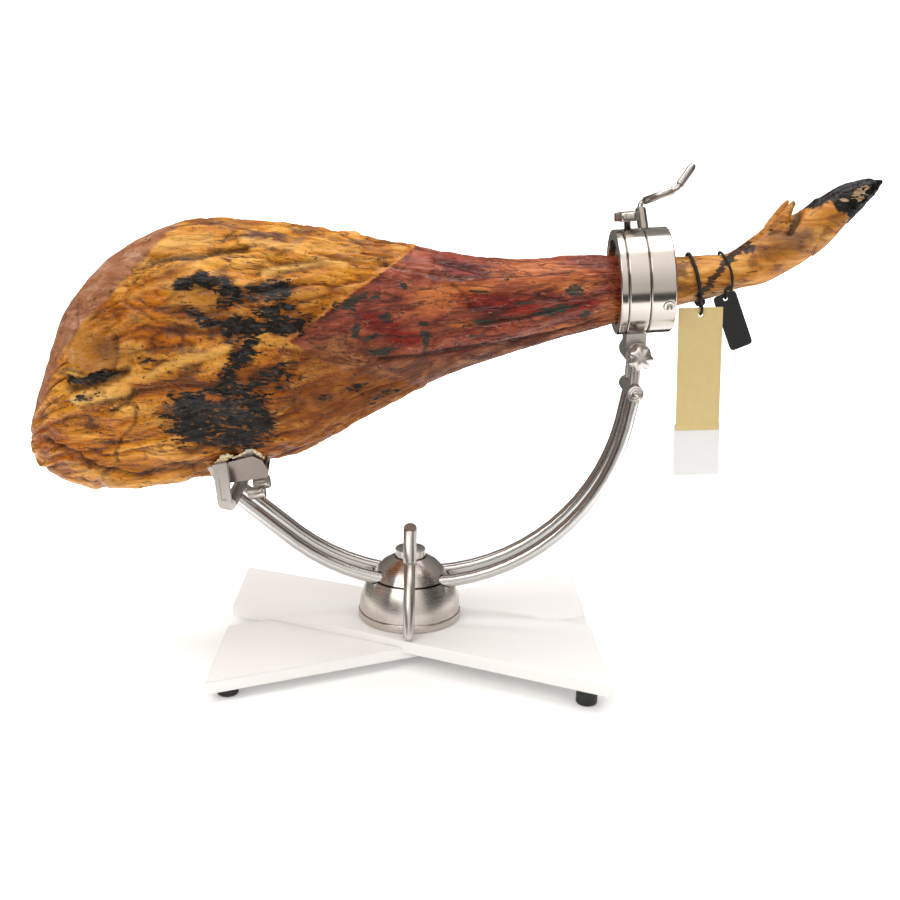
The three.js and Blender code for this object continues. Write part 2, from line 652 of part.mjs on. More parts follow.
function ringBand(from, to) {
  const inner = RING_BORE;
  const outer = RING_RADIUS;
  const profile = [
    [inner, from], [outer - RING_EDGE, from], [outer, from + RING_EDGE],
    [outer, to - RING_EDGE], [outer - RING_EDGE, to], [inner, to], [inner, from]];
  return turned(profile, RING_SIDES).rotateY(Math.PI / 2);
}

function buildRing(group) {
  const [start, seamOne, seamTwo, end] = RING_CUTS;
  const half = GAP / 2;
  group.add(part('ring_flange', ringBand(start, seamOne - half), brushedSteel));
  const screwAxis = new THREE.Vector3(0, Math.sin(CRANK_LEAN), Math.cos(CRANK_LEAN));
  const at = (along, axis, reach) => new THREE.Vector3(along, 0, 0).addScaledVector(axis, reach);
  const up = new THREE.Vector3(0, 0, 1);
  const stemHole = barBetween(at(LOCK_KNOB_ALONG, up, RING_BORE - OVERCUT),
    at(LOCK_KNOB_ALONG, up, RING_RADIUS + OVERCUT), LOCK_STEM_RADIUS + GAP, SMALL_SIDES);
  group.add(part('ring_collar', cut(ringBand(seamOne + half, seamTwo - half), stemHole), brushedSteel));
  const screwHole = barBetween(at(CRANK_ALONG, screwAxis, RING_BORE - OVERCUT),
    at(CRANK_ALONG, screwAxis, RING_RADIUS + OVERCUT), CRANK_SCREW_RADIUS + GAP, SMALL_SIDES);
  const setAxis = new THREE.Vector3(0, -Math.cos(SET_SCREW_ANGLE), Math.sin(SET_SCREW_ANGLE));
  const setHole = barBetween(at(SET_SCREW_ALONG, setAxis, RING_RADIUS - SOCKET_DEPTH),
    at(SET_SCREW_ALONG, setAxis, RING_RADIUS + OVERCUT), SET_SCREW_RADIUS + GAP, SMALL_SIDES);
  group.add(part('ring_rear', cut(ringBand(seamTwo + half, end), screwHole, setHole), brushedSteel));
  const setHead = barBetween(at(SET_SCREW_ALONG, setAxis, RING_RADIUS - SOCKET_DEPTH + GAP),
    at(SET_SCREW_ALONG, setAxis, RING_RADIUS + SET_SCREW_STANDOUT), SET_SCREW_RADIUS, SMALL_SIDES);
  const setSocket = barBetween(at(SET_SCREW_ALONG, setAxis, RING_RADIUS - SOCKET_DEPTH / 2),
    at(SET_SCREW_ALONG, setAxis, RING_RADIUS + OVERCUT), SET_SCREW_RADIUS / 2, 6);
  group.add(part('ring_set_screw', cut(setHead, setSocket), brushedSteel));
  return { screwAxis, up, at };
}

function buildLockKnob(group, up, at) {
  const start = at(LOCK_KNOB_ALONG, up, RING_BORE + 1);
  const knobAt = at(LOCK_KNOB_ALONG, up, RING_RADIUS + LOCK_STEM_LENGTH);
  const stemEnd = knobAt.clone().addScaledVector(up, KNOB_EDGE);
  const stem = barBetween(start, stemEnd, LOCK_STEM_RADIUS, SMALL_SIDES);
  const head = knob(LOCK_KNOB_RADIUS, LOCK_KNOB_LOBES, LOCK_KNOB_LOBE_DEPTH, LOCK_KNOB_THICKNESS,
    LOCK_KNOB_CROWN);
  head.translate(knobAt.x, knobAt.y, knobAt.z);
  group.add(part('lock_knob', join(head, stem), brushedSteel));
}

function buildCrank(group, axis, at) {
  const pad = at(CRANK_ALONG, axis, RING_BORE - CRANK_PAD_REACH);
  const screwTop = at(CRANK_ALONG, axis, RING_RADIUS + CRANK_SCREW_LENGTH);
  group.add(part('crank_screw', barBetween(pad, screwTop, CRANK_SCREW_RADIUS, 16), brushedSteel));
  const side = new THREE.Vector3(1, 0, 0);
  const forward = new THREE.Vector3().crossVectors(side, axis);
  const arm = side.multiplyScalar(Math.cos(CRANK_TURN))
    .addScaledVector(forward, Math.sin(CRANK_TURN));
  const place = (along, rise) =>
    screwTop.clone().addScaledVector(arm, along).addScaledVector(axis, rise);
  const slant = new THREE.Vector3().addScaledVector(arm, Math.cos(CRANK_GRIP_SLANT))
    .addScaledVector(axis, Math.sin(CRANK_GRIP_SLANT));
  const [armStart, armReach] = CRANK_ARM;
  const armEnd = place(armReach - CRANK_ELBOW / 2, CRANK_RISE);
  const elbow = place(armReach + CRANK_ELBOW / 2, CRANK_RISE);
  const gripStart = elbow.clone().addScaledVector(slant, CRANK_GRIP_START);
  const wirePath = new THREE.CatmullRomCurve3([
    place(0, GAP), place(0, CRANK_RISE / 2), place(...CRANK_FOOT_BEND), place(armStart, CRANK_RISE),
    armEnd, elbow, gripStart.clone().addScaledVector(slant, CRANK_GRIP_HELD)]);
  const wire = new THREE.ExtrudeGeometry(
    new THREE.Shape().absarc(0, 0, CRANK_ROD_RADIUS, 0, 2 * Math.PI),
    { steps: CRANK_WIRE_STEPS, curveSegments: 4, extrudePath: wirePath });
  const armSleeve = barBetween(place(armStart, CRANK_RISE), armEnd, CRANK_ARM_RADIUS, SMALL_SIDES);
  group.add(part('crank_arm', join(wire, armSleeve), brushedSteel));
  const length = CRANK_GRIP_LENGTH;
  const r = CRANK_GRIP_RADIUS;
  const socket = CRANK_ROD_RADIUS + GAP;
  const profile = [[socket, 0], [r, 0], [r, length - r], [0.7 * r, length - 0.3 * r], [0, length],
    [0, CRANK_GRIP_SOCKET], [socket, CRANK_GRIP_SOCKET], [socket, 0]];
  group.add(part('crank_grip', turnedAlong(profile, SMALL_SIDES, gripStart, slant), brushedSteel));
}

// Cradle: cheeks on an axle, a bent tray and a toothed plate inside it

// A plate bent up along both long sides; grow widens it for a clearance.
function bentPlate(halfFloor, wing, thickness, lift, grow) {
  const bend = Math.tan(TRAY_WING_SLOPE / 2);
  const along = [Math.cos(TRAY_WING_SLOPE), Math.sin(TRAY_WING_SLOPE)];
  const outerHalf = halfFloor + grow * bend;
  const outerY = outerHalf + along[0] * (wing + grow);
  const outerZ = along[1] * (wing + grow) - grow;
  const full = thickness + 2 * grow;
  const innerHalf = outerHalf - full * bend;
  const innerY = outerY - along[1] * full;
  const innerZ = outerZ + along[0] * full;
  const shape = outline([
    [-outerY, outerZ], [-outerHalf, -grow], [outerHalf, -grow], [outerY, outerZ],
    [innerY, innerZ], [innerHalf, full - grow], [-innerHalf, full - grow], [-innerY, innerZ]]);
  const plate = new THREE.ExtrudeGeometry(shape, { depth: TRAY_LENGTH, bevelEnabled: false });
  plate.rotateX(Math.PI / 2).rotateZ(Math.PI / 2).translate(-TRAY_LENGTH / 2, 0, lift);
  return plate.rotateY(-CRADLE_LEAN).translate(CRADLE_X, 0, CRADLE_Z);
}

// Keeps what lies inside an outline drawn in X and Z, grown about its middle for a clearance.
function trimmed(geometry, points, grow) {
  const middle = points.reduce(([x, z], [px, pz]) => [x + px / points.length, z + pz / points.length],
    [0, 0]);
  const scale = 1 + 2 * grow / OUTLINE_REACH;
  const grown = points.map(([x, z]) => [
    middle[0] + (x - middle[0]) * scale, middle[1] + (z - middle[1]) * scale]);
  const prism = uprightPlate(outline(grown), 4 * TRAY_LENGTH).translate(0, -2 * TRAY_LENGTH, 0);
  const kept = fromSolid(toSolid(geometry).intersect(toSolid(prism)));
  return kept.translate(-CRADLE_X, 0, 0).rotateZ(CRADLE_TWIST).translate(CRADLE_X + CRADLE_SHIFT, 0, 0);
}

function toothedOutline() {
  const points = [...TOOTHED_BASE, TOOTHED_RIM[0]];
  for (let i = 0; i + 1 < TOOTHED_RIM.length; i += 1) {
    const from = TOOTHED_RIM[i];
    const to = TOOTHED_RIM[i + 1];
    const dx = to[0] - from[0];
    const dz = to[1] - from[1];
    const length = Math.hypot(dx, dz);
    const teeth = Math.max(1, Math.round(length / TOOTH_PITCH));
    for (let k = 0; k < teeth; k += 1) {
      const low = (k + 0.5) / teeth;
      const high = (k + 1) / teeth;
      points.push([
        from[0] + dx * low + TOOTH_HEIGHT * dz / length, from[1] + dz * low - TOOTH_HEIGHT * dx / length]);
      points.push([from[0] + dx * high, from[1] + dz * high]);
    }
  }
  return points;
}

function cheek(y, grow) {
  const half = CHEEK_WIDTH / 2 + grow;
  const low = -CHEEK_HEIGHT / 2 + half - grow;
  const high = CHEEK_HEIGHT / 2 + grow;
  const thickness = CHEEK_THICKNESS + 2 * grow;
  const shape = new THREE.Shape();
  shape.moveTo(-half, low);
  shape.absarc(0, low, half, Math.PI, 2 * Math.PI);
  shape.lineTo(half, high);
  shape.lineTo(-half, high - 1);
  const plate = uprightPlate(shape, thickness, 5).translate(0, -thickness / 2, 0);
  return plate.rotateY(-CHEEK_LEAN).translate(CHEEK_AT[0], y, CHEEK_AT[1]);
}

// The long recess in the outer face of a cheek.
function cheekSlot(side) {
  const { radius, from, to, depth } = CHEEK_SLOT;
  const shape = new THREE.Shape();
  shape.moveTo(-radius, from);
  shape.absarc(0, from, radius, Math.PI, 2 * Math.PI);
  shape.absarc(0, to, radius, 0, Math.PI);
  const plate = uprightPlate(shape, 2 * depth, 4).translate(0, -depth, 0);
  const faceY = side * (CHEEK_Y + CHEEK_THICKNESS / 2);
  return plate.rotateY(-CHEEK_LEAN).translate(CHEEK_AT[0], faceY, CHEEK_AT[1]);
}

function buildCradle(group) {
  const toothedFloor = TRAY_HALF_FLOOR - (TRAY_THICKNESS + GAP) * Math.tan(TRAY_WING_SLOPE / 2);
  const toothedLift = TRAY_THICKNESS + GAP;
  const rim = toothedOutline();
  const tray = trimmed(bentPlate(TRAY_HALF_FLOOR, TRAY_WING, TRAY_THICKNESS, 0, 0), TRAY_OUTLINE, 0);
  const toothed = trimmed(
    bentPlate(toothedFloor, TOOTHED_WING, TOOTHED_THICKNESS, toothedLift, 0), rim, 0);
  const traySpace = trimmed(
    bentPlate(TRAY_HALF_FLOOR, TRAY_WING, TRAY_THICKNESS, 0, GAP - PLATE_SHY), TRAY_OUTLINE, GAP);
  const toothedSpace = trimmed(
    bentPlate(toothedFloor, TOOTHED_WING, TOOTHED_THICKNESS, toothedLift, GAP - PLATE_SHY),
    [...TOOTHED_BASE, ...TOOTHED_RIM], GAP);
  const reach = CHEEK_Y - CHEEK_THICKNESS / 2 - GAP;
  const axle = crossBar(AXLE_AT, AXLE_RADIUS, -reach, reach, 16);
  group.add(part('cradle_axle', cut(axle, traySpace, toothedSpace), brushedSteel));
  for (const [name, side] of [['cradle_cheek_front', -1], ['cradle_cheek_back', 1]]) {
    const plate = cut(cheek(side * CHEEK_Y, 0), cheekSlot(side), traySpace, toothedSpace);
    group.add(part(name, plate, brushedSteel));
  }
  group.add(part('cradle_tray', tray, brushedSteel));
  group.add(part('cradle_toothed_plate', cut(toothed, traySpace), brushedSteel));
  const rods = [-ROD_SPREAD, ROD_SPREAD].map((y) => rod(y, ROD_RADIUS + GAP));
  const axleSpace = crossBar(AXLE_AT, AXLE_RADIUS + GAP, -reach, reach, 16);
  const bolt = PIVOT_BOLT;
  for (const [name, y] of [['cradle_bolt_front', -PIVOT_BOLT_Y], ['cradle_bolt_back', PIVOT_BOLT_Y]]) {
    const start = new THREE.Vector3(bolt.at[0], y, bolt.at[1]);
    const along = new THREE.Vector3(Math.cos(bolt.lean), 0, Math.sin(bolt.lean));
    const neck = start.clone().addScaledVector(along, bolt.length);
    const end = neck.clone().addScaledVector(along, bolt.headLength);
    const body = join(barBetween(start, neck, bolt.radius, SMALL_SIDES),
      barBetween(neck, end, bolt.head, 6));
    group.add(part(name, cut(body, traySpace, axleSpace, ...rods), brushedSteel));
  }
  return [traySpace, toothedSpace, cheek(-CHEEK_Y, GAP), cheek(CHEEK_Y, GAP)];
}

// Ham: a loft through its sections with folds and lumps as relief

function sectionCurves(sections) {
  const top = new THREE.SplineCurve(sections.map(([x, z]) => new THREE.Vector2(x, z)));
  const bottom = new THREE.SplineCurve(sections.map(([, , x, z]) => new THREE.Vector2(x, z)));
  const depth = new THREE.SplineCurve(sections.map(([, , , , d], i) => new THREE.Vector2(i, d)));
  return { top, bottom, depth };
}

function power(value, squareness) {
  return Math.sign(value) * Math.abs(value) ** (2 / squareness);
}

function bell(distance) {
  return Math.exp(-distance * distance);
}

function hamRelief(share, angle, x, z) {
  let height = 0;
  const degrees = angle / DEGREE;
  const wave = FOLD_WAVE * Math.sin(share * FOLD_WAVE_TURNS * 2 * Math.PI);
  for (const fold of HAM_FOLDS) {
    const middle = (fold.from + fold.to) / 2;
    const half = (fold.to - fold.from) / 2;
    const fade = Math.max(0, 1 - ((share - middle) / half) ** 2);
    height += fold.height * fade * bell((degrees - fold.angle - wave * (0.5 + fade)) / fold.width);
  }
  for (const lump of angle < 0 ? [...HAM_LUMPS, CRADLE_HOLLOW] : [CRADLE_HOLLOW]) {
    height += lump.height * bell((x - lump.x) / lump.wide) * bell((z - lump.z) / lump.tall);
  }
  return height;
}

function segmentAngles(front, back) {
  const angles = [];
  for (let i = 0; i < front; i += 1) angles.push(-Math.PI * (i / front));
  for (let i = 0; i < back; i += 1) angles.push(Math.PI * (1 - i / back));
  return angles;
}

function loft(sections, rings, angles, squareness, relief, sideShift) {
  const { top, bottom, depth } = sectionCurves(sections);
  const positions = [];
  for (let i = 0; i <= rings; i += 1) {
    const share = i / rings;
    const t = top.getPoint(share);
    const b = bottom.getPoint(share);
    const halfDepth = depth.getPoint(share).y;
    const middle = t.clone().add(b).multiplyScalar(0.5);
    const half = t.clone().sub(b).multiplyScalar(0.5);
    for (const angle of angles) {
      const n = squareness(share);
      const up = power(Math.cos(angle), n);
      const out = power(Math.sin(angle), n);
      const x = middle.x + half.x * up;
      const z = middle.y + half.y * up;
      const swell = relief(share, angle, x, z);
      const size = Math.hypot(Math.cos(angle) * halfDepth, Math.sin(angle) * half.length());
      const outY = Math.sin(angle) * half.length() / size;
      const outXZ = Math.cos(angle) * halfDepth / size / half.length();
      positions.push(x + swell * outXZ * half.x, sideShift + halfDepth * out + swell * outY,
        z + swell * outXZ * half.y);
    }
  }
  const n = angles.length;
  const index = [];
  for (let i = 0; i < rings; i += 1) {
    for (let j = 0; j < n; j += 1) {
      const a = i * n + j;
      const b = i * n + (j + 1) % n;
      index.push(a, b, b + n, a, b + n, a + n);
    }
  }
  const ends = [0, rings];
  for (const ring of ends) {
    const pole = positions.length / 3;
    const t = top.getPoint(ring / rings);
    const b = bottom.getPoint(ring / rings);
    positions.push((t.x + b.x) / 2, sideShift, (t.y + b.y) / 2);
    for (let j = 0; j < n; j += 1) {
      const a = ring * n + j;
      const next = ring * n + (j + 1) % n;
      index.push(...(ring === 0 ? [next, a, pole] : [a, next, pole]));
    }
  }
  const geometry = new THREE.BufferGeometry();
  geometry.setAttribute('position', new THREE.Float32BufferAttribute(positions, 3));
  geometry.setIndex(index);
  return geometry;
}

function buildHam(group, seats) {
  const squareness = (share) => THREE.MathUtils.lerp(HAM_BODY_SQUARENESS, HAM_SHANK_SQUARENESS,
    THREE.MathUtils.smoothstep(share, 0.25, 0.6));
  const body = loft(HAM_SECTIONS, HAM_RINGS, segmentAngles(HAM_FRONT_SEGMENTS, HAM_BACK_SEGMENTS),
    squareness, hamRelief, 0);
  const pieces = [body];
  const flat = () => 0;
  for (const side of [-1, 1]) {
    pieces.push(loft(CLAW_SECTIONS, CLAW_RINGS, segmentAngles(CLAW_SEGMENTS / 2, CLAW_SEGMENTS / 2),
      () => 2, flat, side * CLAW_SIDE));
    const start = new THREE.Vector3(DEWCLAW.base[0], side * DEWCLAW.side, DEWCLAW.base[1]);
    const end = new THREE.Vector3(DEWCLAW.tip[0], side * DEWCLAW.side, DEWCLAW.tip[1]);
    const reach = start.distanceTo(end);
    const r = DEWCLAW.radius;
    const taper = DEWCLAW_TAPER.map(([share, size]) => [r * size, reach * share]);
    const profile = [[0, -r], [r, -r / 2], ...taper, [0, reach]];
    pieces.push(turnedAlong(profile, DEWCLAW_SIDES, start, end.clone().sub(start)));
  }
  group.add(part('ham', cut(join(...pieces), ...seats), hamFlesh));
}

// Tags and the strings that hold them, looped round the shank

// A closed string through the points of a loop that turns about the X axis.
function closedString(pointAt, stations, radius) {
  const side = new THREE.Vector3(1, 0, 0);
  const positions = [];
  const index = [];
  const turn = 2 * Math.PI / stations;
  for (let i = 0; i < stations; i += 1) {
    const here = pointAt(i * turn);
    const along = pointAt((i + 0.5) * turn).sub(pointAt((i - 0.5) * turn)).normalize();
    const across = side.clone().addScaledVector(along, -side.dot(along)).normalize();
    const out = new THREE.Vector3().crossVectors(along, across);
    for (let k = 0; k < STRING_SIDES; k += 1) {
      const angle = (k / STRING_SIDES) * 2 * Math.PI;
      const p = here.clone().addScaledVector(across, radius * Math.cos(angle))
        .addScaledVector(out, radius * Math.sin(angle));
      positions.push(p.x, p.y, p.z);
      const a = i * STRING_SIDES + k;
      const b = i * STRING_SIDES + (k + 1) % STRING_SIDES;
      const wrap = stations * STRING_SIDES;
      const c = (a + STRING_SIDES) % wrap;
      const d = (b + STRING_SIDES) % wrap;
      index.push(a, b, d, a, d, c);
    }
  }
  const geometry = new THREE.BufferGeometry();
  geometry.setAttribute('position', new THREE.Float32BufferAttribute(positions, 3));
  geometry.setIndex(index);
  return geometry;
}

function tagString(loop) {
  const round = closedString((angle) => {
    const up = Math.cos(angle);
    const x = loop.x + loop.lean * up + loop.bulge * (1 - up * up);
    return new THREE.Vector3(x, loop.wide * Math.sin(angle), loop.z + loop.tall * up);
  }, LOOP_STATIONS, loop.radius);
  const [eyeX, eyeY, eyeZ] = loop.eye;
  const eye = closedString((angle) => new THREE.Vector3(eyeX,
    eyeY + loop.eyeWide * Math.sin(angle), eyeZ + loop.eyeTall * Math.cos(angle)),
  EYE_STATIONS, loop.strand);
  const knot = new THREE.SphereGeometry(loop.knotRadius, 8, 6).translate(...loop.knot);
  return join(round, eye, knot);
}

function tagPlate(width, height, corner, holes) {
  const shape = new THREE.Shape();
  const half = width / 2;
  shape.moveTo(half - corner, 0);
  shape.lineTo(-half + corner, 0);
  shape.quadraticCurveTo(-half, 0, -half, -corner);
  shape.lineTo(-half, -height + corner);
  shape.quadraticCurveTo(-half, -height, -half + corner, -height);
  shape.lineTo(half - corner, -height);
  shape.quadraticCurveTo(half, -height, half, -height + corner);
  shape.lineTo(half, -corner);
  shape.quadraticCurveTo(half, 0, half - corner, 0);
  for (const [x, z, r] of holes) {
    shape.holes.push(new THREE.Path().absarc(x, z, r, 0, 2 * Math.PI, true));
  }
  return uprightPlate(shape, TAG_THICKNESS, 3);
}

function buildTags(group) {
  const hang = (geometry, tag) =>
    geometry.rotateY(-tag.lean).translate(tag.at[0], tag.at[1], tag.top);
  const gold = GOLD_TAG;
  const goldPlate = tagPlate(...gold.size, TAG_CORNER, [[0, -gold.hole, TAG_HOLE_RADIUS]]);
  group.add(part('tag_gold', hang(goldPlate, gold), goldCard));
  const label = tagPlate(...LABEL_SIZE, TAG_CORNER, []);
  label.translate(0, TAG_THICKNESS + GAP, LABEL_LAP - gold.size[1]);
  group.add(part('tag_label', hang(label, gold), whiteCard));
  const black = BLACK_TAG;
  const blackPlate = tagPlate(...black.size, BLACK_TAG_CORNER, [[0, -black.hole, TAG_HOLE_RADIUS]]);
  group.add(part('tag_black', hang(blackPlate, black), blackCard));
  group.add(part('string_gold_tag', tagString(GOLD_LOOP), blackString));
  group.add(part('string_black_tag', tagString(BLACK_LOOP), blackString));
}

// Assembly

const whole = new THREE.Group();
whole.position.set(HUB_X, HUB_Y, 0);
buildBase(whole);
buildHub(whole);
buildLever(whole);
buildRods(whole);
buildLink(whole);
const ring = new THREE.Group();
ring.position.set(RING_CENTRE_X, 0, RING_CENTRE_Z);
ring.rotation.y = -RING_LEAN;
const ringParts = buildRing(ring);
buildLockKnob(ring, ringParts.up, ringParts.at);
buildCrank(ring, ringParts.screwAxis, ringParts.at);
whole.add(ring);
const seats = buildCradle(whole);
buildHam(whole, seats);
buildTags(whole);

export default whole;
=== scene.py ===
# The looks of a cured ham in its carving stand. Places are in millimetres in the stand's own
# frame, whose origin is under the middle of the hub, with +X to the hoof, +Z up and the side
# that faces the camera at -Y. Functions turn them into the row frame, in metres.
import json
import math

import bmesh
import bpy
import numpy as np
from mathutils import Matrix, Vector


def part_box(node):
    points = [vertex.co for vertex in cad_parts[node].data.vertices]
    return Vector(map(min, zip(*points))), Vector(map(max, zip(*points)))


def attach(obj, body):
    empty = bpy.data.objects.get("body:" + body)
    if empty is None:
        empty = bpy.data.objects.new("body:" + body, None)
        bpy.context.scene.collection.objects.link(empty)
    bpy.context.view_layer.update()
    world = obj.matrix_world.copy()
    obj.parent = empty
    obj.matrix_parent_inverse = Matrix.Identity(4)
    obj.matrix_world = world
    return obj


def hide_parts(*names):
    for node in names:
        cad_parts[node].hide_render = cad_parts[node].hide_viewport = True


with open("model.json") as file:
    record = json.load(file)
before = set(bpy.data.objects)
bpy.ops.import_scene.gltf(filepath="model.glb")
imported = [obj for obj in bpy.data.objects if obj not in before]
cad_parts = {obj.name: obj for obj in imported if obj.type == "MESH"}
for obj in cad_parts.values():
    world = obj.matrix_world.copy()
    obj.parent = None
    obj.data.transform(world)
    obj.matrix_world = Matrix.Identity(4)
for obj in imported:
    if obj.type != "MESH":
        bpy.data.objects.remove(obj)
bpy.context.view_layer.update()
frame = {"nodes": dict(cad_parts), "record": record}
record = frame["record"]

MM = 0.001
# Corners of a CAD mesh closer than this, in metres, are one corner
SAME_CORNER = 1e-6
flange_low, flange_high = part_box("hub_flange")
HUB = (flange_low + flange_high) / 2
HUB.z = 0.0


def place(x, y, z):
    """A place in the stand's frame, in millimetres, as a place in the row frame, in metres."""
    return Vector((x, y, z)) * MM + HUB


# Camera
CAMERA_AT = place(12.3, -1111.7, 503)
CAMERA_PITCH = math.radians(15.31)
CAMERA_YAW = 0.022
CAMERA_ROLL = 0.022
CAMERA_LENS_MM = 48.0
CAMERA_SENSOR_MM = 36

# Floor and wall, in metres: half their width, where the floor under the object ends in front and
# behind, where the near floor ends, where the wall stands, how tall it is, and the bend between
FLOOR_HALF = 6.0
FLOOR_FRONT = -0.46
FLOOR_END = -6.0
FLOOR_BACK = 0.3
WALL_AT = 2.4
WALL_TALL = 3.0
WALL_BEND = 0.8
WALL_BEND_STEPS = 12
# The floor's own glow near the object and far from it, and the distances it changes between
GLOW_NEAR, GLOW_FAR = 0.1, 0.9
GLOW_FROM, GLOW_TO = 0.18, 0.5
# Each lamp: its name, place, aim, size, power in watts and colour
LIGHTS = [
    ("key", (-0.9, -1.2, 1.5), (-0.1, 0, 0.3), (1.1, 1.1), 13, (1, 0.98, 0.95)),
    ("fill", (1.3, -1.2, 0.9), (0.1, 0, 0.3), (0.5, 0.9), 4, (1, 0.99, 0.97)),
    ("top", (0.0, 0.1, 1.7), (0, 0, 0.2), (1.7, 1.0), 17, (1, 1, 1)),
]
WORLD_STRENGTH = 1.75
# How bright the room is by compass direction, from behind by the left and the front back to
# behind, and by height, from straight down to straight up
WORLD_STRIPS = [(0.0, 0.18), (0.2, 0.24), (0.29, 0.32), (0.35, 0.06), (0.42, 0.08), (0.465, 0.8),
                (0.5, 0.95), (0.57, 0.8), (0.63, 0.12), (0.72, 0.06), (0.8, 0.3), (1.0, 0.18)]
WORLD_RISE = [(0.0, 0.04), (0.325, 0.04), (0.355, 0.5), (0.5, 0.5), (0.62, 0.6), (0.8, 0.8),
              (1.0, 1.0)]

# Noise


def hashed(ix, iy, iz, seed):
    """A repeatable number from 0 to 1 for each lattice point."""
    h = (ix * 374761393 + iy * 668265263 + iz * 2147483647 + seed * 974634777) & 0xFFFFFFFF
    h = ((h ^ (h >> 13)) * 1274126177) & 0xFFFFFFFF
    return ((h ^ (h >> 16)) & 0xFFFF) / 65535.0


def noise(p, seed=0):
    """Smooth noise from -1 to 1 at points p, an array of n rows of x, y and z."""
    base = np.floor(p).astype(np.int64)
    f = p - base
    f = f * f * f * (f * (f * 6 - 15) + 10)
    total = np.zeros(len(p))
    for dx in (0, 1):
        wx = f[:, 0] if dx else 1 - f[:, 0]
        for dy in (0, 1):
            wy = f[:, 1] if dy else 1 - f[:, 1]
            for dz in (0, 1):
                wz = f[:, 2] if dz else 1 - f[:, 2]
                corner = hashed(base[:, 0] + dx, base[:, 1] + dy, base[:, 2] + dz, seed)
                total += wx * wy * wz * corner
    return total * 2 - 1


def fractal(p, octaves=4, seed=0, gain=0.5):
    """Noise with finer and finer detail, about -1 to 1."""
    total, size, norm = np.zeros(len(p)), 1.0, 0.0
    for k in range(octaves):
        total += size * noise(p * 2.03**k, seed + 17 * k)
        norm += size
        size *= gain
    return total / norm


def smooth(low, high, value):
    t = np.clip((value - low) / (high - low), 0, 1)
    return t * t * (3 - 2 * t)


def mix(a, b, t):
    return a + (b - a) * t


def bell(distance):
    return np.exp(-distance * distance)


def stroke(x, z, points, width):
    """How near each (x, z) is to a line through the points: 1 on it, 0 beyond its width."""
    best = np.full(len(x), 1e9)
    for (x0, z0), (x1, z1) in zip(points, points[1:]):
        dx, dz = x1 - x0, z1 - z0
        t = np.clip(((x - x0) * dx + (z - z0) * dz) / (dx * dx + dz * dz), 0, 1)
        best = np.minimum(best, np.hypot(x - x0 - t * dx, z - z0 - t * dz))
    return bell(best / width)


def patch(x, z, at, wide, tall, turn=0.0):
    """A soft oval patch, 1 in the middle."""
    c, s = math.cos(turn), math.sin(turn)
    dx, dz = x - at[0], z - at[1]
    return bell(np.hypot((dx * c + dz * s) / wide, (dz * c - dx * s) / tall))


# Materials

# Painted shade in a seam: its half width in millimetres, and its colour
SEAM_HALF = 0.45
SEAM_SHADE = (0.03, 0.025, 0.02)


def new_material(name):
    material = bpy.data.materials.new(name)
    material.use_nodes = True
    nodes = material.node_tree.nodes
    return material, nodes, material.node_tree.links, nodes["Principled BSDF"]


